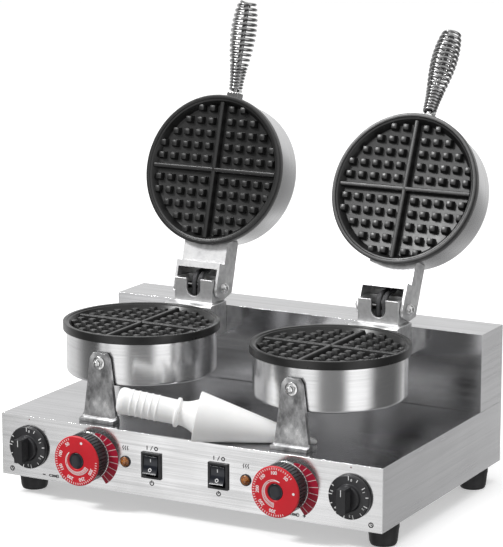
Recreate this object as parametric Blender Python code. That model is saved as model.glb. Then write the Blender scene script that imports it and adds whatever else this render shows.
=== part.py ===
"""Double electric waffle baker for cones, with its cone roller lying on the deck.

Metres, +Z up. X runs along the front panel, Y from the front to the back, Z = 0 is the bench.
The root empty carries everything; each lid hangs on an empty on its hinge axis, is modelled
closed, and is turned to its open rest angle by that empty.
"""

import math

import bmesh
import bpy
from mathutils import Matrix, Vector

# Clearances and sheet
GAP = 0.0003
SHEET = 0.0015

# Base cabinet
WIDTH = 0.500
DEPTH = 0.331
FOOT_HEIGHT = 0.025
PANEL_HEIGHT = 0.0745
DECK_Z = FOOT_HEIGHT + PANEL_HEIGHT
HALF_WIDTH = WIDTH / 2
FOOT_X = 0.232
FOOT_FRONT_Y = 0.041
FOOT_REAR_Y = 0.290
FOOT_TOP_RADIUS = 0.018
FOOT_BOTTOM_RADIUS = 0.0145

# Rear housing
HOUSING_FRONT_Y = 0.268
HOUSING_HEIGHT = 0.0945
GLAND_X = 0.170
GLAND_Z = FOOT_HEIGHT + 0.036

# Baking heads
HEAD_X = 0.1262
HEAD_Y = 0.1175
PARTING_Z = DECK_Z + 0.1036
RIM_RADIUS = 0.0937
RIM_HEIGHT = 0.0098
LIP_RADIUS = 0.0872
FLOOR_RADIUS = 0.0836
TRAY_DEPTH = 0.0105
SPIGOT_RADIUS = 0.0879
PATTERN_FOOT_RADIUS = 0.0842
PATTERN_TOP_RADIUS = 0.0866
PLATE_DEPTH = 0.0185
CASING_RADIUS = 0.0897
LOWER_CASING_BOTTOM = DECK_Z + 0.0420
UPPER_CASING_BACK = 0.0580

# Waffle pattern
PEG_FIRST = 0.0136
PEG_PITCH = 0.0158
PEG_BASE = 0.0100
PEG_TOP = 0.0070
PEG_HEIGHT = 0.0070
PEG_REACH = 0.0830
RIDGE_BASE = 0.0080
RIDGE_TOP = 0.0055
RIDGE_HEIGHT = 0.0078

# Hinges
HINGE_Y = 0.262
HINGE_Z = DECK_Z + 0.1165
PIN_RADIUS = 0.0040
PIN_HOLE_RADIUS = 0.0044
POST_HALF_WIDTH = 0.0268
EAR_INNER = 0.0273
EAR_OUTER = 0.0305
BLOCK_HALF_WIDTH = 0.0330
LID_OPEN = {"left": math.radians(106.5), "right": math.radians(114.0)}

# Handles: the wire coil is thin at the collar, fattest at three fifths, and closes at the tip
HANDLE_HEIGHT = 0.0330
COLLAR_LENGTH = 0.0110
COLLAR_SIZE = 0.0150
ROD_RADIUS = 0.0030
COIL_LENGTH = 0.1155
COIL_WIRE_RADIUS = 0.0016
COIL_START_RADIUS = 0.0069
COIL_FULL_RADIUS = 0.0149
COIL_FULL_AT = 0.077
COIL_CLOSING = 0.048
COIL_TIGHT_PITCH = 0.0041
COIL_WIDE_PITCH = 0.0064
COIL_WIDENS_AT = 0.033
COIL_STEPS = 8
HEAD_SEGMENTS = 36
HANDLE_TILT = {"left": 0.0, "right": math.radians(12.0)}

# Flexible conduits between each hinge post and its lid
CABLE_RADIUS = 0.0030
CABLE_SPREAD = 0.0040

# Controls on the front panel
CONTROL_Z = DECK_Z - 0.0368
TIMER_X = 0.211
THERMOSTAT_X = 0.130
LAMP_X = 0.0792
SWITCH_X = 0.0440
SHAFT_RADIUS = 0.0030
SHAFT_HOLE = 0.0055
KNOB_BORE = 0.0033
TIMER_RADIUS = 0.0255
KNOB_RADIUS = 0.0290
DIAL_RADIUS = 0.0298
ROCKER_TILT = math.radians(9.0)

# Cone roller
CONE_LENGTH = 0.1394
CONE_RADIUS = 0.0292
CONE_TIP_RADIUS = 0.0030
CONE_TIP = (0.1414, 0.0543)
CONE_HEADING = math.radians(202.8)

# The bench point under the middle of the whole outline is the origin
FRONT_Y = -0.2055

SIDES = {"left": -1, "right": 1}


def clear_scene():
    """Removes what the scene starts with."""
    for thing in list(bpy.data.objects):
        bpy.data.objects.remove(thing, do_unlink=True)


def finish(name, colour, roughness, metallic):
    """A Principled material."""
    made = bpy.data.materials.new(name)
    made.use_nodes = True
    shader = made.node_tree.nodes["Principled BSDF"]
    shader.inputs["Base Color"].default_value = (*colour, 1.0)
    shader.inputs["Roughness"].default_value = roughness
    shader.inputs["Metallic"].default_value = metallic
    return made


def empty(name, location, parent=None, rotation=(0.0, 0.0, 0.0)):
    """A frame that pieces hang on."""
    made = bpy.data.objects.new(name, None)
    made.location = location
    made.rotation_euler = rotation
    made.parent = parent
    bpy.context.collection.objects.link(made)
    return made


def add(name, mesh, coating, parent, location=(0.0, 0.0, 0.0), rotation=(0.0, 0.0, 0.0)):
    """An object of its own for a mesh; with no coating it is a cutter or a guide."""
    made = bpy.data.objects.new(name, mesh)
    made.parent = parent
    made.location = location
    made.rotation_euler = rotation
    bpy.context.collection.objects.link(made)
    if coating is None:
        made.hide_render = True
        made.display_type = "WIRE"
    else:
        mesh.materials.clear()
        mesh.materials.append(coating)
    return made


def mesh_from(name, bm, smooth_angle=35.0):
    """A bmesh closed off as a mesh, its normals out, smooth over shallow edges."""
    bmesh.ops.recalc_face_normals(bm, faces=bm.faces)
    mesh = bpy.data.meshes.new(name)
    bm.to_mesh(mesh)
    bm.free()
    mesh.shade_smooth()
    mesh.set_sharp_from_angle(angle=math.radians(smooth_angle))
    return mesh


def box_mesh(name, low, high, bevel=0.0):
    """A box between two corners, its edges rounded by bevel."""
    bm = bmesh.new()
    bmesh.ops.create_cube(bm, size=1.0)
    size = Vector(high) - Vector(low)
    middle = (Vector(high) + Vector(low)) / 2
    bmesh.ops.scale(bm, vec=size, verts=bm.verts)
    bmesh.ops.translate(bm, vec=middle, verts=bm.verts)
    if bevel:
        bmesh.ops.bevel(bm, geom=bm.edges, offset=bevel, segments=1, profile=0.5, affect="EDGES")
    return mesh_from(name, bm)


def turned_mesh(name, profile, segments=40, ring=False):
    """A solid turned about Z from (radius, height) points; ring closes the profile on itself."""
    bm = bmesh.new()
    verts = [bm.verts.new((radius, 0.0, height)) for radius, height in profile]
    edges = [bm.edges.new(pair) for pair in zip(verts, verts[1:])]
    if ring:
        edges.append(bm.edges.new((verts[-1], verts[0])))
    bmesh.ops.spin(
        bm, geom=verts + edges, cent=(0, 0, 0), axis=(0, 0, 1), angle=math.tau,
        steps=segments, use_merge=True,
    )
    bmesh.ops.remove_doubles(bm, verts=bm.verts, dist=1e-5)
    return mesh_from(name, bm)


def prism_mesh(name, outline, low, high, axes="yz"):
    """An outline in the plane of two axes, extruded along the third from low to high."""
    spots = {"yz": lambda a, b: (low, a, b), "xz": lambda a, b: (a, low, b)}
    along = {"yz": (high - low, 0, 0), "xz": (0, high - low, 0)}
    bm = bmesh.new()
    face = bm.faces.new([bm.verts.new(spots[axes](a, b)) for a, b in outline])
    grown = bmesh.ops.extrude_face_region(bm, geom=[face])
    fresh = [item for item in grown["geom"] if isinstance(item, bmesh.types.BMVert)]
    bmesh.ops.translate(bm, vec=along[axes], verts=fresh)
    return mesh_from(name, bm)


def cylinder_cutter(name, radius, low, high, parent, location, rotation=(0.0, 0.0, 0.0), segments=24):
    """A guide cylinder along its local Z."""
    profile = [(0, low), (radius, low), (radius, high), (0, high)]
    return add(name, turned_mesh(name, profile, segments), None, parent, location, rotation)


def combine(target, other, operation):
    """Adds one Boolean of another object to a target."""
    step = target.modifiers.new(f"{operation.lower()}_{other.name}", "BOOLEAN")
    step.operation = operation
    step.solver = "EXACT"
    step.object = other


def cut(target, *cutters):
    """Takes each cutter out of the target."""
    for cutter in cutters:
        combine(target, cutter, "DIFFERENCE")


def join(target, *others):
    """Makes the target and each other shape one body."""
    for other in others:
        combine(target, other, "UNION")


def arc(centre, radius, start, end, steps):
    """Points along an arc, its angles in degrees."""
    turns = [math.radians(start + (end - start) * i / steps) for i in range(steps + 1)]
    return [(centre[0] + radius * math.cos(t), centre[1] + radius * math.sin(t)) for t in turns]


def smooth_route(points, per_span=3):
    """Points along one smooth curve through the given ones (Catmull-Rom)."""
    given = [Vector(point) for point in points]
    padded = [2 * given[0] - given[1]] + given + [2 * given[-1] - given[-2]]
    route = []
    for before, start, end, after in zip(padded, padded[1:], padded[2:], padded[3:]):
        for step in range(per_span):
            t = step / per_span
            bend = (2 * before - 5 * start + 4 * end - after) * t * t
            twist = (3 * start - before - 3 * end + after) * t * t * t
            route.append((2 * start + (end - before) * t + bend + twist) / 2)
    return route + [given[-1]]


def tube(name, points, radius, sides, coating, parent, location=(0, 0, 0), rotation=(0, 0, 0)):
    """A round tube along points, its ends capped."""
    curve = bpy.data.curves.new(name, "CURVE")
    curve.dimensions = "3D"
    curve.bevel_depth = radius
    curve.bevel_resolution = sides // 2 - 2
    curve.use_fill_caps = True
    spline = curve.splines.new("POLY")
    spline.points.add(len(points) - 1)
    for spot, point in zip(spline.points, points):
        spot.co = (*point, 1.0)
    return add(name, curve, coating, parent, location, rotation)


# ---------------------------------------------------------------- base cabinet


def make_base(root, finishes):
    """The folded deck and sides, the front panel, the bottom cover and four feet."""
    steel = finishes["steel"]
    low = (-HALF_WIDTH, SHEET + GAP, FOOT_HEIGHT)
    high = (HALF_WIDTH, DEPTH, DECK_Z)
    shell = add("base_shell", box_mesh("base_shell", low, high), steel, root)
    hollow_low = (-HALF_WIDTH + SHEET, -0.01, 0.0)
    hollow_high = (HALF_WIDTH - SHEET, DEPTH - SHEET, DECK_Z - SHEET)
    hollow = add("base_hollow", box_mesh("base_hollow", hollow_low, hollow_high), None, root)
    slot_low = (-0.030, HOUSING_FRONT_Y + 0.010, DECK_Z - 0.010)
    slot_high = (0.030, DEPTH - 0.012, DECK_Z + 0.010)
    slot = add("wiring_slot", box_mesh("wiring_slot", slot_low, slot_high), None, root)
    gland_hole = cylinder_cutter(
        "gland_hole", 0.0083, -0.02, 0.02, root, (GLAND_X, DEPTH, GLAND_Z), (math.pi / 2, 0, 0)
    )
    cut(shell, hollow, slot, gland_hole)

    panel_low = (-HALF_WIDTH, 0.0, FOOT_HEIGHT)
    panel_high = (HALF_WIDTH, SHEET, DECK_Z)
    panel = add("control_panel", box_mesh("control_panel", panel_low, panel_high), steel, root)
    for side, sign in SIDES.items():
        for what, x, radius in (
            ("timer", TIMER_X, SHAFT_HOLE),
            ("thermostat", THERMOSTAT_X, SHAFT_HOLE),
            ("lamp", LAMP_X, 0.0051),
        ):
            name = f"{side}_{what}_hole"
            place = (sign * x, 0.0, CONTROL_Z)
            hole = cylinder_cutter(name, radius, -0.02, 0.02, root, place, (math.pi / 2, 0, 0), 20)
            cut(panel, hole)
        window_low = (sign * SWITCH_X - 0.0112, -0.01, CONTROL_Z - 0.0142)
        window_high = (sign * SWITCH_X + 0.0112, 0.01, CONTROL_Z + 0.0142)
        window_name = f"{side}_switch_window"
        window = add(window_name, box_mesh(window_name, window_low, window_high), None, root)
        cut(panel, window)

    edge = 2 * SHEET
    cover_low = (-HALF_WIDTH + edge, edge, FOOT_HEIGHT)
    cover_high = (HALF_WIDTH - edge, DEPTH - edge, FOOT_HEIGHT + SHEET)
    add("bottom_cover", box_mesh("bottom_cover", cover_low, cover_high), steel, root)

    foot_profile = [
        (0, 0), (FOOT_BOTTOM_RADIUS, 0), (FOOT_BOTTOM_RADIUS + 0.001, 0.001),
        (FOOT_TOP_RADIUS, FOOT_HEIGHT - 0.004), (FOOT_TOP_RADIUS, FOOT_HEIGHT - GAP),
        (0, FOOT_HEIGHT - GAP),
    ]
    foot = turned_mesh("foot", foot_profile, 24)
    for end, y in (("front", FOOT_FRONT_Y), ("rear", FOOT_REAR_Y)):
        for side, sign in SIDES.items():
            add(f"foot_{end}_{side}", foot, finishes["rubber"], root, (sign * FOOT_X, y, 0))

    block_low = (-0.030, 0.285, FOOT_HEIGHT + SHEET + GAP)
    block_high = (0.030, 0.305, FOOT_HEIGHT + 0.020)
    block_mesh = box_mesh("terminal_block", block_low, block_high, 0.0008)
    add("terminal_block", block_mesh, finishes["ceramic"], root)

    gland_profile = [
        (0.0045, 0.018), (0.0085, 0.018), (0.0105, 0.015), (0.0105, 0.0065), (0.0125, 0.0055),
        (0.0125, GAP), (0.0078, GAP), (0.0078, -0.014), (0.0045, -0.014),
    ]
    gland = turned_mesh("cable_gland", gland_profile, 20, ring=True)
    gland_place = (GLAND_X, DEPTH, GLAND_Z)
    add("cable_gland", gland, finishes["black"], root, gland_place, (-math.pi / 2, 0, 0))


def make_rear_housing(root, finishes):
    """The low box across the back that carries both hinges, and its louvred cover."""
    top = DECK_Z + HOUSING_HEIGHT
    low = (-HALF_WIDTH, HOUSING_FRONT_Y, DECK_Z + GAP)
    high = (HALF_WIDTH, DEPTH, top)
    housing = add("rear_housing", box_mesh("rear_housing", low, high), finishes["steel"], root)
    hollow_low = (-HALF_WIDTH + SHEET, HOUSING_FRONT_Y + SHEET, 0.0)
    hollow_high = (HALF_WIDTH - SHEET, DEPTH + 0.01, top - SHEET)
    hollow = add("housing_hollow", box_mesh("housing_hollow", hollow_low, hollow_high), None, root)
    cut(housing, hollow)
    for side, sign in SIDES.items():
        place = (sign * HEAD_X, HOUSING_FRONT_Y, HINGE_Z - 0.0345)
        name = f"{side}_conduit_hole"
        cut(housing, cylinder_cutter(name, 0.0100, -0.01, 0.01, root, place, (math.pi / 2, 0, 0), 20))

    edge = 2 * SHEET
    cover_low = (-HALF_WIDTH + edge, DEPTH - 2 * SHEET, DECK_Z + 2 * GAP)
    cover_high = (HALF_WIDTH - edge, DEPTH - SHEET, top - edge)
    cover = add("rear_cover", box_mesh("rear_cover", cover_low, cover_high), finishes["steel"], root)
    bm = bmesh.new()
    for column in (-0.110, 0.110):
        for row in range(4):
            slot = Matrix.Translation((column, DEPTH - 1.5 * SHEET, DECK_Z + 0.030 + 0.012 * row))
            bmesh.ops.create_cube(bm, size=1.0, matrix=slot @ Matrix.Diagonal((0.070, 0.01, 0.004, 1)))
    cut(cover, add("louvres", mesh_from("louvres", bm), None, root))


# ---------------------------------------------------------------- baking heads


def plate_mesh():
    """A baking plate facing +Z: rim, tray floor, cross ridge and truncated pegs, as one body."""
    profile = [
        (0, -TRAY_DEPTH), (FLOOR_RADIUS, -TRAY_DEPTH), (LIP_RADIUS, 0), (RIM_RADIUS - 0.0015, 0),
        (RIM_RADIUS, -0.0015), (RIM_RADIUS, -RIM_HEIGHT), (SPIGOT_RADIUS, -RIM_HEIGHT),
        (SPIGOT_RADIUS, -PLATE_DEPTH), (0, -PLATE_DEPTH),
    ]
    body = add("plate_body", turned_mesh("plate_body", profile, HEAD_SEGMENTS), None, None)
    foot = -TRAY_DEPTH - 0.001
    ridge_top = RIDGE_HEIGHT - TRAY_DEPTH
    slope = [
        (-RIDGE_BASE / 2, foot), (RIDGE_BASE / 2, foot), (RIDGE_TOP / 2, ridge_top),
        (-RIDGE_TOP / 2, ridge_top),
    ]
    across_mesh = prism_mesh("ridge_across", slope, -RIM_RADIUS, RIM_RADIUS, "yz")
    along_mesh = prism_mesh("ridge_along", slope, -RIM_RADIUS, RIM_RADIUS, "xz")
    across = add("ridge_across", across_mesh, None, None)
    along = add("ridge_along", along_mesh, None, None)
    bm = bmesh.new()
    spots = [PEG_FIRST + PEG_PITCH * i for i in range(5)]
    for x in spots:
        for y in spots:
            if math.hypot(x, y) > PEG_REACH:
                continue
            for sx, sy in ((1, 1), (1, -1), (-1, 1), (-1, -1)):
                height = PEG_HEIGHT + 0.001
                place = Matrix.Translation((sx * x, sy * y, foot + height / 2))
                bmesh.ops.create_cone(
                    bm, cap_ends=True, segments=4, radius1=PEG_BASE / math.sqrt(2),
                    radius2=PEG_TOP / math.sqrt(2), depth=height,
                    matrix=place @ Matrix.Rotation(math.pi / 4, 4, "Z"),
                )
    pegs = add("pegs", mesh_from("pegs", bm), None, None)
    tray = [
        (0, foot - 0.001), (PATTERN_FOOT_RADIUS, foot - 0.001), (PATTERN_FOOT_RADIUS, foot),
        (PATTERN_TOP_RADIUS, ridge_top), (PATTERN_TOP_RADIUS, ridge_top + 0.001),
        (0, ridge_top + 0.001),
    ]
    bounds = add("tray_bounds", turned_mesh("tray_bounds", tray, HEAD_SEGMENTS), None, None)
    for pattern in (across, along, pegs):
        combine(pattern, bounds, "INTERSECT")
    join(body, pegs, across, along)
    bpy.context.view_layer.update()
    graph = bpy.context.evaluated_depsgraph_get()
    mesh = bpy.data.meshes.new_from_object(body.evaluated_get(graph))
    mesh.name = "baking_plate"
    for guide in (body, across, along, pegs, bounds):
        bpy.data.objects.remove(guide, do_unlink=True)
    return mesh


def casing_mesh(height):
    """A round cup open at the top, standing on z = 0."""
    inner = CASING_RADIUS - SHEET
    profile = [
        (0, 0), (CASING_RADIUS - 0.003, 0), (CASING_RADIUS - 0.0009, 0.0009), (CASING_RADIUS, 0.003),
        (CASING_RADIUS, height), (inner, height), (inner, SHEET), (0, SHEET),
    ]
    return turned_mesh("casing", profile, HEAD_SEGMENTS)


def heater_mesh():
    """A flat ring element with two terminal posts pointing down from z = 0."""
    profile = [(0.0500, 0), (0.0600, 0), (0.0600, -0.0060), (0.0500, -0.0060)]
    return turned_mesh("heater", profile, 24, ring=True)


def make_lower_head(side, root, finishes, shapes):
    """The fixed half: casing, heater and plate, held by a front strut and the hinge base."""
    x = SIDES[side] * HEAD_X
    plate_top = PARTING_Z - GAP
    add(f"{side}_lower_plate", shapes["plate"], finishes["iron"], root, (x, HEAD_Y, plate_top))
    casing = shapes["lower_casing"]
    add(f"{side}_lower_casing", casing, finishes["steel"], root, (x, HEAD_Y, LOWER_CASING_BOTTOM))
    heater_top = plate_top - PLATE_DEPTH - GAP
    add(f"{side}_lower_heater", shapes["heater"], finishes["element"], root, (x, HEAD_Y, heater_top))

    strut_front = 0.0205
    strut_back = 0.0265
    bolt_z = DECK_Z + 0.0705
    outline = [
        (-0.0220, 0.0020), (0.0220, 0.0020), (0.0125, 0.0760), (0.0080, 0.0815),
        (-0.0080, 0.0815), (-0.0125, 0.0760),
    ]
    face = prism_mesh("strut", outline, strut_front, strut_back, "xz")
    strut = add(f"{side}_strut", face, finishes["cast"], root, (x, 0, DECK_Z + GAP))
    tread_mesh = box_mesh("strut_tread", (-0.0245, 0.0120, 0), (0.0245, 0.0275, 0.0032))
    tread = add(f"{side}_strut_tread", tread_mesh, None, root, (x, 0, DECK_Z + GAP))
    join(strut, tread)
    hole_place = (x, strut_front, bolt_z)
    cut(strut, cylinder_cutter(
        f"{side}_bolt_hole", 0.0034, -0.02, 0.02, root, hole_place, (math.pi / 2, 0, 0), 16
    ))
    casing_front = HEAD_Y - CASING_RADIUS
    bolt_profile = [
        (0, 0.0085), (0.0030, 0.0078), (0.0048, 0.0052), (0.0052, 0.0017), (0.0078, 0.0015),
        (0.0078, GAP), (0.0030, GAP), (0.0030, strut_front - strut_back - GAP),
        (0.0070, strut_front - strut_back - GAP), (0.0070, strut_front - casing_front + 2 * GAP),
        (0, strut_front - casing_front + 2 * GAP),
    ]
    bolt = turned_mesh("strut_bolt", bolt_profile, 18)
    add(f"{side}_strut_bolt", bolt, finishes["chrome"], root, hole_place, (math.pi / 2, 0, 0))


def make_hinge_base(side, root, finishes):
    """The bracket on the housing: block, neck to the casing, and a hollow post for the pin."""
    x = SIDES[side] * HEAD_X
    turned_y = (math.pi / 2, 0, 0)
    turned_x = (0, math.pi / 2, 0)

    def shape(what, low, high, bevel=0.0, coating=None):
        name = f"{side}_{what}"
        return add(name, box_mesh(name, low, high, bevel), coating, root, (x, HINGE_Y, HINGE_Z))

    back = HOUSING_FRONT_Y - HINGE_Y - GAP
    wide = BLOCK_HALF_WIDTH
    post = POST_HALF_WIDTH
    bracket = shape(
        "hinge_base", (-wide, -0.0340, -0.0565), (wide, back, -0.0165), 0.0012, finishes["cast"]
    )
    upright = shape("post_body", (-post, -0.0195, -0.0180), (post, 0.0125, 0.0125), 0.0010)
    neck = shape("neck_body", (-0.020, -0.0620, -0.0545), (0.020, -0.0330, -0.0245))
    join(bracket, upright, neck)
    bay = shape("post_bay", (-0.0225, -0.0155, -0.0465), (0.0225, 0.0085, 0.0400))
    slot = shape("notch_slot", (-0.0095, -0.0250, 0.0), (0.0095, -0.0100, 0.0300))
    round_end = cylinder_cutter(
        f"{side}_notch_round", 0.0095, 0.0100, 0.0250, root, (x, HINGE_Y, HINGE_Z), turned_y
    )
    pin_hole = cylinder_cutter(
        f"{side}_post_pin_hole", PIN_HOLE_RADIUS, -0.05, 0.05, root, (x, HINGE_Y, HINGE_Z), turned_x, 20
    )
    saddle = cylinder_cutter(
        f"{side}_saddle", CASING_RADIUS + GAP, -0.05, 0.05, root, (x, HEAD_Y, HINGE_Z - 0.04),
        segments=48,
    )
    cut(bracket, bay, slot, round_end, pin_hole, saddle)

    nut_in = EAR_OUTER + GAP
    half = [(0, 0.0385), (0.0032, 0.0378), (0.0056, 0.0356), (0.0065, 0.0330), (0.0065, nut_in)]
    half += [(PIN_RADIUS, nut_in)]
    profile = half + [(radius, -along) for radius, along in reversed(half)]
    pin = turned_mesh("hinge_pin", profile, 16)
    add(f"{side}_hinge_pin", pin, finishes["chrome"], root, (x, HINGE_Y, HINGE_Z), turned_x)


def make_hinge_arm(side, lid, finishes):
    """The yoke that straddles the post, and the neck that carries the lid. Modelled closed."""
    name = f"{side}_hinge_arm"
    ears = [(-0.0290, -0.0150), (0.0020, -0.0150)]
    ears += arc((0.0030, -0.0050), 0.0100, -90, 0, 4)
    ears += [(0.0130, 0.0085), (0.0030, 0.0255), (-0.0290, 0.0255)]
    outline = prism_mesh(name, ears, -EAR_OUTER, EAR_OUTER, "yz")
    arm = add(name, outline, finishes["cast"], lid)

    def guide(what, low, high):
        label = f"{side}_{what}"
        return add(label, box_mesh(label, low, high), None, lid)

    casing_y = HEAD_Y - HINGE_Y
    neck = guide("arm_neck", (-EAR_OUTER, -0.0680, -0.0025), (EAR_OUTER, -0.0280, 0.0255))
    join(arm, neck)
    bay = guide("yoke_bay", (-EAR_INNER, -0.0250, -0.0119), (EAR_INNER, 0.0400, 0.0222))
    window = guide("yoke_window", (-EAR_INNER, -0.0212, -0.0300), (EAR_INNER, 0.0400, -0.0100))
    conduit = guide("arm_conduit_way", (-0.0130, -0.0900, 0.0010), (0.0130, -0.0200, 0.0195))
    pin_hole = cylinder_cutter(
        f"{side}_arm_pin_hole", PIN_HOLE_RADIUS, -0.05, 0.05, lid, (0, 0, 0), (0, math.pi / 2, 0), 20
    )
    saddle = cylinder_cutter(
        f"{side}_arm_saddle", CASING_RADIUS + GAP, -0.05, 0.10, lid, (0, casing_y, 0), segments=48
    )
    cut(arm, bay, window, conduit, pin_hole, saddle)


def make_upper_head(side, lid, finishes, shapes):
    """The lid's plate, heater and casing, facing down onto the lower head when closed."""
    y = HEAD_Y - HINGE_Y
    face = PARTING_Z - HINGE_Z + GAP
    flipped = (math.pi, 0, 0)
    add(f"{side}_upper_plate", shapes["plate"], finishes["iron"], lid, (0, y, face), flipped)
    heater_at = (0, y, face + PLATE_DEPTH + GAP)
    add(f"{side}_upper_heater", shapes["heater"], finishes["element"], lid, heater_at, flipped)
    casing_at = (0, y, PARTING_Z - HINGE_Z + UPPER_CASING_BACK)
    casing = add(
        f"{side}_upper_casing", shapes["upper_casing"], finishes["steel"], lid, casing_at, flipped
    )
    way_low = (-0.0130, -0.0800, 0.0050)
    way_high = (0.0130, -0.0400, 0.0195)
    way_name = f"{side}_casing_conduit_way"
    cut(casing, add(way_name, box_mesh(way_name, way_low, way_high), None, lid))


def coil_points():
    """The centre line of the tapered handle coil, from the collar to the tip, along -Y."""
    points = []
    along = COIL_WIRE_RADIUS
    turn = 0.0
    while along < COIL_LENGTH:
        if along < COIL_FULL_AT:
            share = along / COIL_FULL_AT
            swell = share * share * (3 - 2 * share)
            radius = COIL_START_RADIUS + (COIL_FULL_RADIUS - COIL_START_RADIUS) * swell
        else:
            radius = COIL_FULL_RADIUS * math.sqrt(1 - ((along - COIL_FULL_AT) / COIL_CLOSING) ** 2)
        points.append((radius * math.cos(turn), -along, radius * math.sin(turn)))
        pitch = COIL_TIGHT_PITCH if along < COIL_WIDENS_AT else COIL_WIDE_PITCH
        along += pitch / COIL_STEPS
        turn += math.tau / COIL_STEPS
    return points


def make_handle(side, lid, finishes):
    """The collar and rod on the front of the lid, inside a tapered coil of bare wire."""
    root_y = HEAD_Y - HINGE_Y - CASING_RADIUS - GAP
    centre_z = PARTING_Z - HINGE_Z + HANDLE_HEIGHT
    half = COLLAR_SIZE / 2
    name = f"{side}_handle_rod"
    collar_low = (-half, -COLLAR_LENGTH, -half)
    collar = add(
        name, box_mesh(name, collar_low, (half, 0, half), 0.002), finishes["chrome"], lid,
        (0, root_y, centre_z),
    )
    tilt = (-HANDLE_TILT[side], 0, 0)
    grip_place = (0, root_y - COLLAR_LENGTH - 4 * GAP, centre_z)
    grip = empty(f"{side}_grip_axis", grip_place, lid, tilt)
    reach = COIL_LENGTH - 0.003
    rod_profile = [
        (0, -0.004), (ROD_RADIUS, -0.004), (ROD_RADIUS, reach - 0.007), (0.0045, reach - 0.006),
        (0.0045, reach - 0.002), (0.0030, reach), (0, reach),
    ]
    rod_name = f"{side}_rod_body"
    rod_mesh = turned_mesh(rod_name, rod_profile, 16)
    rod = add(rod_name, rod_mesh, None, grip, rotation=(math.pi / 2, 0, 0))
    join(collar, rod)
    tube(f"{side}_handle_coil", coil_points(), COIL_WIRE_RADIUS, 4, finishes["chrome"], grip)


def make_conduits(side, root, finishes):
    """Two braided conduits from the housing, up through the post's notch and into the arm."""
    swing = LID_OPEN[side]

    def on_lid(y, z):
        back = y * math.cos(swing) + z * math.sin(swing)
        return back, -y * math.sin(swing) + z * math.cos(swing)

    route = [
        (0.0220, -0.0345), (0.0060, -0.0345), (-0.0045, -0.0305), (-0.0090, -0.0190),
        (-0.0098, -0.0040), (-0.0080, 0.0080), (-0.0010, 0.0162), on_lid(-0.0205, 0.0062),
        on_lid(-0.0280, 0.0095), on_lid(-0.0380, 0.0105), on_lid(-0.0540, 0.0105),
    ]
    for letter, shift in (("a", -CABLE_SPREAD), ("b", CABLE_SPREAD)):
        points = smooth_route([(shift, y, z) for y, z in route])
        place = (SIDES[side] * HEAD_X, HINGE_Y, HINGE_Z)
        tube(f"{side}_lid_cable_{letter}", points, CABLE_RADIUS, 6, finishes["braid"], root, place)


def make_head(side, root, finishes, shapes):
    """One baking head: fixed half, hinge, lid, handle and conduits."""
    make_lower_head(side, root, finishes, shapes)
    make_hinge_base(side, root, finishes)
    axis_place = (SIDES[side] * HEAD_X, HINGE_Y, HINGE_Z)
    lid = empty(f"{side}_lid_axis", axis_place, root, (-LID_OPEN[side], 0, 0))
    make_hinge_arm(side, lid, finishes)
    make_upper_head(side, lid, finishes, shapes)
    make_handle(side, lid, finishes)
    make_conduits(side, root, finishes)


# ---------------------------------------------------------------- controls


def make_knob_and_body(side, root, finishes):
    """The timer and the thermostat: a knob outside the panel and a body with its shaft inside."""
    sign = SIDES[side]
    facing = (math.pi / 2, 0, 0)
    timer_place = (sign * TIMER_X, 0, CONTROL_Z)
    thermostat_place = (sign * THERMOSTAT_X, 0, CONTROL_Z)

    skirt = [
        (0, 0.0085), (KNOB_BORE, 0.0085), (KNOB_BORE, 0.0005), (TIMER_RADIUS - 0.001, 0.0005),
        (TIMER_RADIUS, 0.0015), (TIMER_RADIUS, 0.0050), (TIMER_RADIUS - 0.0015, 0.0065),
        (0.0150, 0.0072), (0.0145, 0.0105), (0, 0.0110),
    ]
    name = f"{side}_timer_knob"
    knob = add(name, turned_mesh(name, skirt, 32), finishes["black"], root, timer_place, facing)
    bar_name = f"{side}_timer_grip"
    bar_mesh = box_mesh(bar_name, (-0.0055, -0.0143, 0.0090), (0.0055, 0.0143, 0.0258), 0.0010)
    join(knob, add(bar_name, bar_mesh, None, root, timer_place, facing))

    barrel = [
        (0, 0.0180), (KNOB_BORE, 0.0180), (KNOB_BORE, 0.0005), (KNOB_RADIUS, 0.0005),
        (KNOB_RADIUS, 0.0235), (0.0092, 0.0235), (0.0092, 0.0248), (0, 0.0248),
    ]
    name = f"{side}_thermostat_knob"
    add(name, turned_mesh(name, barrel, 32), finishes["black"], root, thermostat_place, facing)
    dial = [
        (0.0095, 0.0238), (DIAL_RADIUS, 0.0238), (DIAL_RADIUS, 0.0252), (DIAL_RADIUS - 0.001, 0.0262),
        (0.0095, 0.0262),
    ]
    name = f"{side}_thermostat_dial"
    dial_mesh = turned_mesh(name, dial, 32, ring=True)
    add(name, dial_mesh, finishes["red"], root, thermostat_place, facing)

    for what, place, half, depth, shaft_end in (
        ("timer", timer_place, 0.0230, 0.045, 0.0080),
        ("thermostat", thermostat_place, 0.0200, 0.034, 0.0175),
    ):
        name = f"{side}_{what}_body"
        low = (-half, 0.0040, -half)
        case = box_mesh(name, low, (half, depth, half), 0.001)
        body = add(name, case, finishes["ceramic"], root, place)
        shaft_profile = [(0, -0.006), (SHAFT_RADIUS, -0.006), (SHAFT_RADIUS, shaft_end), (0, shaft_end)]
        shaft_name = f"{side}_{what}_shaft"
        shaft = turned_mesh(shaft_name, shaft_profile, 16)
        join(body, add(shaft_name, shaft, None, root, place, facing))


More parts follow.
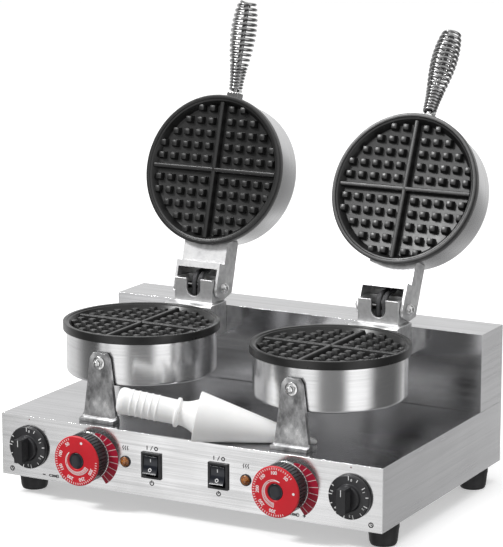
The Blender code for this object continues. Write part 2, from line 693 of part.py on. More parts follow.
def make_switch_and_lamp(side, root, finishes):
    """The rocker switch in its bezel, and the heating lamp beside it."""
    place = (SIDES[side] * SWITCH_X, 0, CONTROL_Z)
    name = f"{side}_switch_housing"
    bezel_mesh = box_mesh(name, (-0.0130, -0.0026, -0.0155), (0.0130, -GAP, 0.0155), 0.0006)
    bezel = add(name, bezel_mesh, finishes["black"], root, place)

    def guide(what, low, high):
        label = f"{side}_{what}"
        return add(label, box_mesh(label, low, high), None, root, place)

    join(bezel, guide("switch_case", (-0.0109, -0.0010, -0.0139), (0.0109, 0.0240, 0.0139)))
    cut(bezel, guide("switch_well", (-0.0096, -0.0200, -0.0126), (0.0096, 0.0130, 0.0126)))

    pivot = (place[0], 0.0030, place[2])
    swing = empty(f"{side}_rocker_axis", pivot, root, (-ROCKER_TILT, 0, 0))
    paddle = [
        (-0.0082, -0.0104), (-0.0058, 0.0), (-0.0082, 0.0104), (0.0, 0.0104), (0.0055, 0.0050),
        (0.0055, -0.0050), (0.0, -0.0104),
    ]
    rocker_name = f"{side}_rocker"
    rocker_mesh = prism_mesh(rocker_name, paddle, -0.0092, 0.0092, "yz")
    add(rocker_name, rocker_mesh, finishes["black"], swing)

    lens = [
        (0, 0.0058), (0.0030, 0.0052), (0.0052, 0.0032), (0.0060, 0.0012), (0.0070, 0.0011),
        (0.0070, GAP), (0.0048, GAP), (0.0048, -0.0220), (0, -0.0220),
    ]
    lamp_name = f"{side}_heat_lamp"
    lamp_place = (SIDES[side] * LAMP_X, 0, CONTROL_Z)
    lamp_mesh = turned_mesh(lamp_name, lens, 20)
    add(lamp_name, lamp_mesh, finishes["amber"], root, lamp_place, (math.pi / 2, 0, 0))


# ---------------------------------------------------------------- cone roller


def make_cone_roller(root, finishes):
    """The solid cone for shaping hot wafers, lying along one side of its cone on the deck."""
    half_angle = math.atan2(CONE_RADIUS - CONE_TIP_RADIUS, CONE_LENGTH - CONE_TIP_RADIUS)
    flat = math.cos(half_angle)
    direction = Vector((
        math.cos(CONE_HEADING) * flat, math.sin(CONE_HEADING) * flat, math.sin(half_angle)
    ))
    lift = GAP + CONE_TIP_RADIUS * (math.cos(half_angle) - math.sin(half_angle))
    facing = Vector((0, 0, 1)).rotation_difference(direction).to_euler()
    axis = empty("roller_axis", (*CONE_TIP, DECK_Z + lift), root, facing)
    cone_profile = [
        (0, 0), (0.0021, 0.0009), (CONE_TIP_RADIUS, CONE_TIP_RADIUS), (CONE_RADIUS, CONE_LENGTH),
        (0, CONE_LENGTH),
    ]
    add("cone_form", turned_mesh("cone_form", cone_profile, 32), finishes["white"], axis)
    handle_profile = [
        (0, 0), (0.0200, 0), (0.0168, 0.0060), (0.0146, 0.0120), (0.0137, 0.0185),
        (0.0172, 0.0195), (0.0172, 0.0240), (0.0142, 0.0250), (0.0158, 0.0840), (0.0142, 0.0890),
        (0.0090, 0.0915), (0, 0.0920),
    ]
    handle = turned_mesh("cone_handle", handle_profile, 24)
    add("cone_handle", handle, finishes["white"], axis, (0, 0, CONE_LENGTH + GAP))


# ---------------------------------------------------------------- assembly


def make_finishes():
    """The materials, by name."""
    return {
        "steel": finish("brushed_stainless", (0.62, 0.62, 0.63), 0.32, 1.0),
        "cast": finish("cast_aluminium", (0.58, 0.58, 0.59), 0.45, 1.0),
        "chrome": finish("bright_wire", (0.75, 0.75, 0.76), 0.18, 1.0),
        "iron": finish("seasoned_iron", (0.045, 0.045, 0.048), 0.48, 0.4),
        "element": finish("heating_element", (0.22, 0.20, 0.19), 0.6, 0.8),
        "rubber": finish("black_rubber", (0.02, 0.02, 0.02), 0.8, 0.0),
        "black": finish("black_plastic", (0.018, 0.018, 0.02), 0.4, 0.0),
        "red": finish("red_dial", (0.78, 0.03, 0.05), 0.35, 0.0),
        "amber": finish("amber_lens", (0.80, 0.38, 0.08), 0.15, 0.0),
        "white": finish("white_nylon", (0.88, 0.88, 0.87), 0.42, 0.0),
        "ceramic": finish("beige_phenolic", (0.55, 0.50, 0.42), 0.6, 0.0),
        "braid": finish("braided_conduit", (0.16, 0.16, 0.17), 0.45, 0.7),
    }


def main():
    clear_scene()
    finishes = make_finishes()
    root = empty("machine", (0, FRONT_Y, 0))
    plate_top = PARTING_Z - GAP
    lower_height = plate_top - RIM_HEIGHT - GAP - LOWER_CASING_BOTTOM
    upper_height = UPPER_CASING_BACK - RIM_HEIGHT - 2 * GAP
    shapes = {
        "plate": plate_mesh(),
        "lower_casing": casing_mesh(lower_height),
        "upper_casing": casing_mesh(upper_height),
        "heater": heater_mesh(),
    }
    make_base(root, finishes)
    make_rear_housing(root, finishes)
    for side in SIDES:
        make_head(side, root, finishes, shapes)
        make_knob_and_body(side, root, finishes)
        make_switch_and_lamp(side, root, finishes)
    make_cone_roller(root, finishes)


main()
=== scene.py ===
"""The finished double waffle baker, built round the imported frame.

Metres, +Z up. X runs along the control panel, Y from the panel to the back, Z = 0 is the bench.
"""

import math

import bmesh
import bpy
from mathutils import Matrix, Vector


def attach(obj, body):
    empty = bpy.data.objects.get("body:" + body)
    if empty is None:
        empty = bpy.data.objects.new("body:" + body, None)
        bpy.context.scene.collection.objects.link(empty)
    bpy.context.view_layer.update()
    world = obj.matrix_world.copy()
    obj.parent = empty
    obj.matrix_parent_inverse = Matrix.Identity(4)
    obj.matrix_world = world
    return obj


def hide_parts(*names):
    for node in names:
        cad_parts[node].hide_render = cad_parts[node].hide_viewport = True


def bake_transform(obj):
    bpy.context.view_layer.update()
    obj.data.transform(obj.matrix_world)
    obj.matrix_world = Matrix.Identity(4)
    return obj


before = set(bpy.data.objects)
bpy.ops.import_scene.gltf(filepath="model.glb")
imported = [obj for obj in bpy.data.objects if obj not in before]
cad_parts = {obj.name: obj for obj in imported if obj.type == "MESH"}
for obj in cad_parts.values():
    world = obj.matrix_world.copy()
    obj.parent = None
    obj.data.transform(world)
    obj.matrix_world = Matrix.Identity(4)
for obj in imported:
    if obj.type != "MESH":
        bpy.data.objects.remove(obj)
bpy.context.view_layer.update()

# ---------------------------------------------------------------- sizes, as the frame has them

WIDTH = 0.500
DEPTH = 0.331
HALF_WIDTH = WIDTH / 2
FRONT_Y = -0.2055
FOOT_HEIGHT = 0.025
DECK_Z = 0.0995
SHEET = 0.0015
HOUSING_FRONT_Y = 0.268
HOUSING_HEIGHT = 0.0945

HEAD_X = 0.1262
HEAD_Y = 0.1175
PARTING_Z = DECK_Z + 0.1036
RIM_RADIUS = 0.0937
RIM_HEIGHT = 0.0098
LIP_RADIUS = 0.0872
FLOOR_RADIUS = 0.0818
TRAY_DEPTH = 0.0105
SPIGOT_RADIUS = 0.0879
PLATE_DEPTH = 0.0185
CASING_RADIUS = 0.0897
LOWER_CASING_BOTTOM = DECK_Z + 0.0420
UPPER_CASING_BACK = 0.0580

PEG_FIRST = 0.0136
PEG_PITCH = 0.0158
PEG_BASE = 0.0100
PEG_TOP = 0.0070
PEG_HEIGHT = 0.0070
PEG_REACH = 0.0830
RIDGE_BASE = 0.0080
RIDGE_TOP = 0.0050
RIDGE_HEIGHT = 0.0078

HINGE_Y = 0.262
HINGE_Z = DECK_Z + 0.1165
LID_OPEN = {"left": math.radians(106.5), "right": math.radians(114.0)}
EAR_INNER = 0.0273
EAR_OUTER = 0.0305

HANDLE_HEIGHT = 0.0330
COLLAR_LENGTH = 0.0110
COLLAR_SIZE = 0.0150
COIL_LENGTH = 0.1155
COIL_WIRE_RADIUS = 0.0016
COIL_START_RADIUS = 0.0069
COIL_FULL_RADIUS = 0.0149
COIL_FULL_AT = 0.077
COIL_CLOSING = 0.048
COIL_TIGHT_PITCH = 0.0041
COIL_WIDE_PITCH = 0.0064
COIL_WIDENS_AT = 0.033
HANDLE_TILT = {"left": 0.0, "right": math.radians(12.0)}

CABLE_RADIUS = 0.0030
CABLE_SPREAD = 0.0040

CONTROL_Z = DECK_Z - 0.0368
TIMER_X = 0.211
THERMOSTAT_X = 0.130
LAMP_X = 0.0792
SWITCH_X = 0.0440
TIMER_RADIUS = 0.0255
KNOB_RADIUS = 0.0290
DIAL_RADIUS = 0.0298
DIAL_FACE = 0.0262
ROCKER_TILT = math.radians(9.0)

CONE_LENGTH = 0.1394
CONE_RADIUS = 0.0292
CONE_TIP_RADIUS = 0.0030
CONE_TIP = (0.1414, 0.0543)
CONE_HEADING = math.radians(202.8)

CAMERA_LENS = 181.94671968190852
CAMERA_YAW = math.radians(28.37)
CAMERA_PITCH = math.radians(11.94)

ROUND = 128
GAP = 0.0003
SIDES = {"left": -1, "right": 1}

# ---------------------------------------------------------------- materials


class Nodes:
    """A material and short ways to add nodes to it."""

    def __init__(self, name):
        self.material = bpy.data.materials.new(name)
        self.material.use_nodes = True
        self.tree = self.material.node_tree
        self.shader = self.tree.nodes["Principled BSDF"]

    def set(self, **values):
        for label, value in values.items():
            self.shader.inputs[label.replace("_", " ")].default_value = value

    def add(self, kind, **settings):
        node = self.tree.nodes.new(kind)
        for label, value in settings.items():
            setattr(node, label, value)
        return node

    def link(self, source, target):
        self.tree.links.new(source, target)

    def place(self, scale, rotation=(0, 0, 0)):
        """Object coordinates, stretched."""
        coordinates = self.add("ShaderNodeTexCoord")
        mapping = self.add("ShaderNodeMapping")
        mapping.inputs["Scale"].default_value = scale
        mapping.inputs["Rotation"].default_value = rotation
        self.link(coordinates.outputs["Object"], mapping.inputs["Vector"])
        return mapping.outputs["Vector"]

    def noise(self, vector, scale=1.0, detail=2.0, roughness=0.5):
        node = self.add("ShaderNodeTexNoise")
        node.inputs["Scale"].default_value = scale
        node.inputs["Detail"].default_value = detail
        node.inputs["Roughness"].default_value = roughness
        self.link(vector, node.inputs["Vector"])
        return node.outputs["Fac"]

    def span(self, factor, low, high, start=0.3, end=0.7):
        """A number from low to high as the factor goes from start to end."""
        node = self.add("ShaderNodeMapRange")
        for label, value in (("From Min", start), ("From Max", end), ("To Min", low), ("To Max", high)):
            node.inputs[label].default_value = value
        self.link(factor, node.inputs["Value"])
        return node.outputs["Result"]

    def ramp(self, factor, stops):
        node = self.add("ShaderNodeValToRGB")
        band = node.color_ramp
        while len(band.elements) < len(stops):
            band.elements.new(0.5)
        for element, (place, colour) in zip(band.elements, stops):
            element.position = place
            element.color = (*colour, 1.0)
        self.link(factor, node.inputs["Fac"])
        return node.outputs["Color"]

    def math(self, operation, *values):
        node = self.add("ShaderNodeMath", operation=operation)
        for socket, value in zip(node.inputs, values):
            if isinstance(value, float):
                socket.default_value = value
            else:
                self.link(value, socket)
        return node.outputs[0]

    def bump(self, height, strength, distance, under=None):
        node = self.add("ShaderNodeBump")
        node.inputs["Strength"].default_value = strength
        node.inputs["Distance"].default_value = distance
        self.link(height, node.inputs["Height"])
        if under:
            self.link(under, node.inputs["Normal"])
        return node.outputs["Normal"]

    def wire(self, **sockets):
        for label, source in sockets.items():
            self.link(source, self.shader.inputs[label.replace("_", " ")])


class WorldNodes(Nodes):
    """The same short ways for the surround."""

    def __init__(self, world):
        world.use_nodes = True
        self.tree = world.node_tree

    def mix(self, factor, under, level):
        """The colour below, going over to a plain grey as the factor rises."""
        node = self.add("ShaderNodeMix", data_type="RGBA")
        node.inputs["B"].default_value = (level, level, level, 1.0)
        self.link(factor, node.inputs["Factor"])
        self.link(under, node.inputs["A"])
        return node.outputs["Result"]


def brushed(name, along, light, rough, depth=0.84):
    """Brushed stainless: fine scratches along one way, and slow cloudy wear."""
    made = Nodes(name)
    made.set(Metallic=1.0)
    grain = [900.0, 900.0, 900.0]
    streak = [170.0, 170.0, 170.0]
    for axis in along:
        grain[axis] = 7.0
        streak[axis] = 3.0
    fine = made.noise(made.place(grain), 1.0, 3.0, 0.6)
    wide = made.noise(made.place(streak), 1.0, 2.0, 0.5)
    cloud = made.noise(made.place((9.0, 9.0, 9.0)), 1.0, 3.0, 0.55)
    mixed = made.math("ADD", fine, wide)
    half = made.span(mixed, 0.0, 1.0, 0.6, 1.4)
    cloudy = made.math("ADD", half, made.span(cloud, -0.25, 0.25))
    dark = tuple(part * depth for part in light)
    made.wire(
        Base_Color=made.ramp(cloudy, ((0.15, dark), (0.85, light))),
        Roughness=made.span(cloudy, rough + 0.06, rough - 0.05, 0.1, 0.9),
        Normal=made.bump(mixed, 0.05, 0.0002),
    )
    return made.material


def cast_metal():
    """Tumbled cast aluminium: pale, with soft dark mottling and a pitted skin."""
    made = Nodes("cast_aluminium")
    made.set(Metallic=1.0)
    blotch = made.noise(made.place((60.0, 60.0, 60.0)), 1.0, 4.0, 0.62)
    flakes = made.add("ShaderNodeTexVoronoi")
    flakes.inputs["Scale"].default_value = 1.0
    made.link(made.place((150.0, 150.0, 100.0)), flakes.inputs["Vector"])
    both = made.math("MULTIPLY_ADD", flakes.outputs["Distance"], 0.22, blotch)
    pits = made.noise(made.place((900.0, 900.0, 900.0)), 1.0, 3.0, 0.6)
    colour = made.ramp(
        both, ((0.36, (0.52, 0.52, 0.525)), (0.55, (0.64, 0.64, 0.645)), (0.75, (0.78, 0.78, 0.78)))
    )
    made.wire(
        Base_Color=colour,
        Roughness=made.span(both, 0.54, 0.40, 0.35, 0.75),
        Normal=made.bump(pits, 0.12, 0.0003, made.bump(blotch, 0.18, 0.0008)),
    )
    return made.material


def strut_metal():
    """Mill-finish aluminium bar with crystalline patches and dull weathering."""
    made = Nodes("mottled_aluminium")
    made.set(Metallic=1.0)
    patches = made.noise(made.place((42.0, 42.0, 26.0)), 1.0, 5.0, 0.66)
    crystals = made.add("ShaderNodeTexVoronoi")
    crystals.inputs["Scale"].default_value = 1.0
    made.link(made.place((260.0, 260.0, 180.0)), crystals.inputs["Vector"])
    sparkle = made.add("ShaderNodeSeparateColor")
    made.link(crystals.outputs["Color"], sparkle.inputs["Color"])
    both = made.math("MULTIPLY_ADD", sparkle.outputs["Red"], 0.08, patches)
    colour = made.ramp(
        both,
        ((0.38, (0.15, 0.15, 0.153)), (0.50, (0.29, 0.29, 0.293)), (0.60, (0.42, 0.42, 0.425)),
         (0.76, (0.72, 0.72, 0.72))),
    )
    made.wire(
        Base_Color=colour,
        Roughness=made.span(both, 0.44, 0.26, 0.38, 0.72),
        Normal=made.bump(patches, 0.12, 0.0008),
    )
    return made.material


def bright_wire(name, light, rough):
    """Plated wire and fasteners, faintly marked by handling."""
    made = Nodes(name)
    made.set(Metallic=1.0)
    haze = made.noise(made.place((180.0, 180.0, 180.0)), 1.0, 3.0, 0.6)
    made.wire(
        Base_Color=made.ramp(haze, ((0.35, (light * 0.7,) * 3), (0.65, (light,) * 3))),
        Roughness=made.span(haze, rough + 0.08, rough - 0.06),
        Normal=made.bump(haze, 0.06, 0.0004),
    )
    return made.material


def seasoned_iron():
    """Dark coated casting: a fine sandy skin, slightly polished where it rubs."""
    made = Nodes("coated_casting")
    made.set(Metallic=0.0, IOR=1.5, Specular_IOR_Level=0.46)
    sand = made.noise(made.place((1500.0, 1500.0, 1500.0)), 1.0, 2.0, 0.6)
    wear = made.noise(made.place((45.0, 45.0, 45.0)), 1.0, 4.0, 0.6)
    made.wire(
        Base_Color=made.ramp(wear, ((0.35, (0.009, 0.009, 0.009)), (0.68, (0.018, 0.018, 0.018)))),
        Roughness=made.span(wear, 0.38, 0.26),
        Normal=made.bump(sand, 0.14, 0.0002),
    )
    return made.material


def moulded(name, colour, rough, grain=1100.0, strength=0.12, variation=0.25):
    """Moulded plastic or rubber with a fine spark-eroded grain."""
    made = Nodes(name)
    skin = made.noise(made.place((grain, grain, grain)), 1.0, 2.0, 0.5)
    dust = made.noise(made.place((60.0, 60.0, 60.0)), 1.0, 4.0, 0.6)
    dark = tuple(part * (1.0 - variation) for part in colour)
    light = tuple(min(1.0, part * (1.0 + variation)) for part in colour)
    made.wire(
        Base_Color=made.ramp(dust, ((0.35, dark), (0.65, light))),
        Roughness=made.span(dust, rough + 0.07, rough - 0.05),
        Normal=made.bump(skin, strength, 0.0003),
    )
    return made.material


def amber_lens():
    """Amber lens with cut facets inside, its colour painted bright at each facet's centre and dark at its
    edges as painted glints.
    """
    made = Nodes("amber_lens")
    made.set(Transmission_Weight=0.25, IOR=1.49, Coat_Weight=0.6, Coat_Roughness=0.04)
    facets_and_glints = made.add("ShaderNodeTexVoronoi", feature="F1")
    facets_and_glints.inputs["Scale"].default_value = 1.0
    made.link(made.place((520.0, 520.0, 520.0)), facets_and_glints.inputs["Vector"])
    # the colour ramp over the facet cells is painted glints: bright amber spots fading to dark brown between
    # them
    made.wire(
        Base_Color=made.ramp(
            facets_and_glints.outputs["Distance"],
            ((0.10, (0.80, 0.36, 0.08)), (0.40, (0.46, 0.15, 0.02)), (0.75, (0.18, 0.05, 0.01))),
        ),
        Roughness=made.span(facets_and_glints.outputs["Distance"], 0.08, 0.22, 0.1, 0.8),
        Normal=made.bump(facets_and_glints.outputs["Distance"], 0.5, 0.0006),
    )
    return made.material


def white_nylon():
    """Turned white nylon, slightly translucent, with faint lathe lines."""
    made = Nodes("white_nylon")
    made.set(Subsurface_Weight=0.15, Subsurface_Scale=0.004, Subsurface_Radius=(1.0, 0.9, 0.8))
    lines = made.noise(made.place((3.0, 3.0, 1100.0)), 1.0, 2.0, 0.5)
    mottle = made.noise(made.place((40.0, 40.0, 40.0)), 1.0, 4.0, 0.6)
    made.wire(
        Base_Color=made.ramp(mottle, ((0.35, (0.92, 0.92, 0.915)), (0.65, (0.96, 0.96, 0.955)))),
        Roughness=made.span(mottle, 0.46, 0.36),
        Normal=made.bump(lines, 0.06, 0.0002),
    )
    return made.material


def braided():
    """Fine dark braid: two crossing sets of strands."""
    made = Nodes("braided_sleeve")
    made.set(Metallic=0.35)
    strands = []
    for turn in (0.7, -0.7):
        wave = made.add("ShaderNodeTexWave")
        wave.inputs["Scale"].default_value = 1.0
        made.link(made.place((420.0, 420.0, 420.0), (turn, 0.0, 0.0)), wave.inputs["Vector"])
        strands.append(wave.outputs["Fac"])
    cross = made.math("MAXIMUM", *strands)
    made.wire(
        Base_Color=made.ramp(cross, ((0.2, (0.02, 0.02, 0.02)), (0.9, (0.16, 0.16, 0.17)))),
        Roughness=made.span(cross, 0.62, 0.38, 0.2, 0.9),
        Normal=made.bump(cross, 0.5, 0.0006),
    )
    return made.material


MATERIALS = {
    # one brushed steel in three tones chosen by which way the faces point: the panel copy lightest and the
    # side copy lighter as painted light, the deck copy darker as painted shade
    "panel": brushed("brushed_panel_painted_light", (0,), (0.86, 0.86, 0.865), 0.17),
    "deck": brushed("brushed_deck_painted_shade", (0,), (0.62, 0.62, 0.63), 0.15),
    "side": brushed("brushed_side_painted_light", (0, 1), (0.70, 0.70, 0.71), 0.22, 0.93),
    "round": brushed("brushed_casing", (0, 1), (0.71, 0.71, 0.715), 0.21, 0.92),
    "cast": cast_metal(),
    "strut": strut_metal(),
    "wire": bright_wire("bright_plate", 0.80, 0.14),
    "coil": bright_wire("handle_wire", 0.44, 0.12),
    "dark_steel": bright_wire("dark_steel", 0.07, 0.35),
    "iron": seasoned_iron(),
    "element": brushed("oxidised_element", (0, 1), (0.26, 0.23, 0.21), 0.55),
    "rubber": moulded("black_rubber", (0.020, 0.020, 0.021), 0.62, 700.0, 0.25),
    "black": moulded("black_plastic", (0.018, 0.018, 0.020), 0.36),
    "barrel": moulded("ribbed_plastic", (0.034, 0.034, 0.037), 0.26, 600.0, 0.05),
    "gloss_black": moulded("glossy_black", (0.012, 0.014, 0.020), 0.16, 300.0, 0.03),
    "red": moulded("red_enamel", (0.62, 0.004, 0.016), 0.34, 900.0, 0.04, 0.06),
    "scale_red": moulded("printed_red", (0.40, 0.004, 0.030), 0.46, 900.0, 0.04, 0.08),
    "print": moulded("white_print", (0.90, 0.90, 0.90), 0.5, 900.0, 0.05, 0.04),
    "ink": moulded("black_print", (0.012, 0.012, 0.013), 0.5, 900.0, 0.05, 0.2),
    "dot": moulded("index_print", (0.35, 0.20, 0.20), 0.5, 900.0, 0.05, 0.2),
    "amber": amber_lens(),
    "white": white_nylon(),
    "phenolic": moulded("beige_phenolic", (0.50, 0.44, 0.35), 0.5, 500.0, 0.2),
    "braid": braided(),
}

# ---------------------------------------------------------------- mesh helpers


def mesh_from(name, bm, angle=35.0):
    """A bmesh as a mesh with outward normals, smooth over shallow edges."""
    bmesh.ops.recalc_face_normals(bm, faces=bm.faces)
    mesh = bpy.data.meshes.new(name)
    bm.to_mesh(mesh)
    bm.free()
    mesh.shade_smooth()
    mesh.set_sharp_from_angle(angle=math.radians(angle))
    return mesh


def box_into(bm, low, high):
    """Adds a box between two corners."""
    size = Vector(high) - Vector(low)
    middle = (Vector(high) + Vector(low)) / 2
    place = Matrix.Translation(middle) @ Matrix.Diagonal((*size, 1.0))
    bmesh.ops.create_cube(bm, size=1.0, matrix=place)


def box_mesh(name, low, high):
    bm = bmesh.new()
    box_into(bm, low, high)
    return mesh_from(name, bm)


def turned_mesh(name, profile, segments=ROUND, ring=False, angle=35.0):
    """A solid turned about Z from (radius, height) points; ring closes the profile on itself."""
    bm = bmesh.new()
    verts = [bm.verts.new((radius, 0.0, height)) for radius, height in profile]
    edges = [bm.edges.new(pair) for pair in zip(verts, verts[1:])]
    if ring:
        edges.append(bm.edges.new((verts[-1], verts[0])))
    bmesh.ops.spin(
        bm, geom=verts + edges, cent=(0, 0, 0), axis=(0, 0, 1), angle=math.tau,
        steps=segments, use_merge=True,
    )
    bmesh.ops.remove_doubles(bm, verts=bm.verts, dist=1e-6)
    return mesh_from(name, bm, angle)


def rounded(profile, radius, steps=4):
    """The profile with each corner between its ends rounded, no wider than its sides allow."""
    points = [Vector((a, b)) for a, b in profile]
    result = [points[0]]
    for before, corner, after in zip(points, points[1:], points[2:]):
        into, out = corner - before, after - corner
        if into.length < 1e-7 or out.length < 1e-7 or into.angle(out) < 0.12:
            result.append(corner)
            continue
        reach = min(radius, into.length * 0.45, out.length * 0.45)
        start = corner - into.normalized() * reach
        end = corner + out.normalized() * reach
        for step in range(steps + 1):
            t = step / steps
            result.append(start * (1 - t) ** 2 + corner * 2 * t * (1 - t) + end * t * t)
    result.append(points[-1])
    return [(point.x, point.y) for point in result]


def prism_mesh(name, outline, low, high, axes="yz"):
    """An outline in the plane of two axes, extruded along the third from low to high."""
    spots = {
        "yz": lambda a, b: (low, a, b), "xz": lambda a, b: (a, low, b), "xy": lambda a, b: (a, b, low)
    }
    depth = high - low
    along = {"yz": (depth, 0, 0), "xz": (0, depth, 0), "xy": (0, 0, depth)}
    bm = bmesh.new()
    face = bm.faces.new([bm.verts.new(spots[axes](a, b)) for a, b in outline])
    grown = bmesh.ops.extrude_face_region(bm, geom=[face])
    fresh = [item for item in grown["geom"] if isinstance(item, bmesh.types.BMVert)]
    bmesh.ops.translate(bm, vec=along[axes], verts=fresh)
    return mesh_from(name, bm)


def arc(centre, radius, start, end, steps):
    """Points along an arc, its angles in degrees."""
    turns = [math.radians(start + (end - start) * i / steps) for i in range(steps + 1)]
    return [(centre[0] + radius * math.cos(t), centre[1] + radius * math.sin(t)) for t in turns]


def carve(name, steps):
    """One mesh from a first one and (operation, mesh) steps, all in the same coordinates."""
    made = bpy.data.objects.new(name, steps[0])
    bpy.context.collection.objects.link(made)
    others = []
    for operation, mesh in steps[1:]:
        other = bpy.data.objects.new(name + "_guide", mesh)
        bpy.context.collection.objects.link(other)
        others.append(other)
        modifier = made.modifiers.new("step", "BOOLEAN")
        modifier.operation = operation
        modifier.solver = "EXACT"
        modifier.object = other
    bpy.context.view_layer.update()
    graph = bpy.context.evaluated_depsgraph_get()
    mesh = bpy.data.meshes.new_from_object(made.evaluated_get(graph))
    for thing in [made] + others:
        bpy.data.objects.remove(thing, do_unlink=True)
    mesh.name = name
    bm = bmesh.new()
    bm.from_mesh(mesh)
    bmesh.ops.remove_doubles(bm, verts=bm.verts, dist=1e-6)
    bmesh.ops.dissolve_limit(
        bm, angle_limit=math.radians(1.0), verts=bm.verts, edges=bm.edges, use_dissolve_boundaries=False
    )
    bm.to_mesh(mesh)
    bm.free()
    mesh.shade_smooth()
    mesh.set_sharp_from_angle(angle=math.radians(35))
    return mesh


def smooth_route(points, per_span=8):
    """Points along one smooth curve through the given ones (Catmull-Rom)."""
    given = [Vector(point) for point in points]
    padded = [2 * given[0] - given[1]] + given + [2 * given[-1] - given[-2]]
    route = []
    for before, start, end, after in zip(padded, padded[1:], padded[2:], padded[3:]):
        for step in range(per_span):
            t = step / per_span
            bend = (2 * before - 5 * start + 4 * end - after) * t * t
            twist = (3 * start - before - 3 * end + after) * t * t * t
            route.append((2 * start + (end - before) * t + bend + twist) / 2)
    return route + [given[-1]]


def tube_mesh(name, points, radius, sides):
    """A round tube along points, its ends capped."""
    curve = bpy.data.curves.new(name, "CURVE")
    curve.dimensions = "3D"
    curve.bevel_depth = radius
    curve.bevel_resolution = sides // 2 - 2
    curve.use_fill_caps = True
    spline = curve.splines.new("POLY")
    spline.points.add(len(points) - 1)
    for spot, point in zip(spline.points, points):
        spot.co = (*point, 1.0)
    carrier = bpy.data.objects.new(name, curve)
    bpy.context.collection.objects.link(carrier)
    bpy.context.view_layer.update()
    graph = bpy.context.evaluated_depsgraph_get()
    mesh = bpy.data.meshes.new_from_object(carrier.evaluated_get(graph))
    bpy.data.objects.remove(carrier, do_unlink=True)
    mesh.name = name
    mesh.shade_smooth()
    mesh.set_sharp_from_angle(angle=math.radians(50))
    return mesh


def piece(name, mesh, material, body, place=None, replaces=(), bevel=0.0, steps=2):
    """A visible piece, set in place, riding on a body and standing for CAD nodes."""
    made = bpy.data.objects.new(name, mesh)
    bpy.context.collection.objects.link(made)
    mesh.materials.clear()
    mesh.materials.append(MATERIALS[material])
    if place is not None:
        made.matrix_world = place
    if bevel:
        edge = made.modifiers.new("edges", "BEVEL")
        edge.width = bevel
        edge.segments = steps
        edge.limit_method = "ANGLE"
        edge.angle_limit = math.radians(40)
        edge.harden_normals = True
    # faces of deck and panel pieces that point along X get the lighter side copy of the same steel: painted
    # light by facing direction
    if material in ("deck", "panel"):
        mesh.materials.append(MATERIALS["side"])
        for face in mesh.polygons:
            if abs(face.normal.x) > 0.7:
                face.material_index = 1
    if body:
        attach(made, body)
    if replaces:
        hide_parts(*replaces)
    return made


def turned(name, profile, segments, material, body, place, replaces=()):
    """A turned visible piece."""
    return piece(name, turned_mesh(name, profile, segments), material, body, place, replaces)


def cut_piece(name, steps, *finish):
    """A carved visible piece."""
    return piece(name, carve(name, steps), *finish)


def extruded(name, outline, low, high, axes, *finish):
    """An extruded visible piece."""
    return piece(name, prism_mesh(name, outline, low, high, axes), *finish)


def rod_mesh(name, radius, half, sides):
    """A solid round rod along Z, as a cutter or a pin."""
    return turned_mesh(name, [(0, -half), (radius, -half), (radius, half), (0, half)], sides)


def shift(x, y, z):
    return Matrix.Translation((x, y, z))


def turn(angle, axis):
    return Matrix.Rotation(angle, 4, axis)


FACING = turn(math.pi / 2, "X")


def at_panel(x, z=CONTROL_Z):
    """Local +Z points out of the panel's front, and local +Y is up."""
    return shift(x, FRONT_Y, z) @ FACING


def lid_place(side):
    """The frame that a lid is modelled in, closed, with its hinge pin along X at the origin."""
    return shift(SIDES[side] * HEAD_X, FRONT_Y + HINGE_Y, HINGE_Z) @ turn(-LID_OPEN[side], "X")


# ---------------------------------------------------------------- base cabinet


def make_cabinet():
    """The folded deck and sides, the control panel, the bottom cover and the feet."""
    root = shift(0, FRONT_Y, 0)
    low = (-HALF_WIDTH, SHEET + 0.0002, FOOT_HEIGHT)
    high = (HALF_WIDTH, DEPTH, DECK_Z)
    hollow_low = (-HALF_WIDTH + SHEET, -0.01, 0.0)
    hollow_high = (HALF_WIDTH - SHEET, DEPTH - SHEET, DECK_Z - SHEET)
    slot = box_mesh("slot", (-0.030, 0.278, DECK_Z - 0.01), (0.030, 0.319, DECK_Z + 0.01))
    cut_piece("cabinet_shell", [
        box_mesh("shell", low, high),
        ("DIFFERENCE", box_mesh("hollow", hollow_low, hollow_high)),
        ("DIFFERENCE", slot),
    ], "deck", "machine", root, ("base_shell",), 0.0009, 3)

    steps = [box_mesh("panel", (-HALF_WIDTH, 0.0, FOOT_HEIGHT), (HALF_WIDTH, SHEET, DECK_Z))]
    for sign in SIDES.values():
        low = (sign * SWITCH_X - 0.0112, -0.01, CONTROL_Z - 0.0142)
        high = (sign * SWITCH_X + 0.0112, 0.01, CONTROL_Z + 0.0142)
        steps.append(("DIFFERENCE", box_mesh("window", low, high)))
    cut_piece("front_panel", steps, "panel", "machine", root, ("control_panel",), 0.0007, 3)

    edge = 2 * SHEET
    cover = box_mesh(
        "underside", (-HALF_WIDTH + edge, edge, FOOT_HEIGHT),
        (HALF_WIDTH - edge, DEPTH - edge, FOOT_HEIGHT + SHEET),
    )
    piece("underside_cover", cover, "deck", "machine", root, ("bottom_cover",), 0.0004)
    bm = bmesh.new()
    for x in (-0.150, 0.0, 0.150):
        for y in (0.016, DEPTH - 0.016):
            bmesh.ops.create_cone(
                bm, cap_ends=True, segments=24, radius1=0.0030, radius2=0.0036, depth=0.0014,
                matrix=shift(x, y, FOOT_HEIGHT - 0.0006),
            )
    piece("underside_screws", mesh_from("screws", bm), "wire", "machine", root)

    foot = rounded([
        (0, 0), (0.0145, 0), (0.0160, 0.0040), (0.0176, 0.0190), (0.0180, 0.0196),
        (0.0180, FOOT_HEIGHT - GAP), (0, FOOT_HEIGHT - GAP),
    ], 0.0012)
    for end, y in (("front", 0.041), ("rear", 0.290)):
        for side, sign in SIDES.items():
            place = shift(sign * 0.232, FRONT_Y + y, 0)
            turned(f"rubber_{end}_{side}", foot, 64, "rubber", "machine", place, (f"foot_{end}_{side}",))


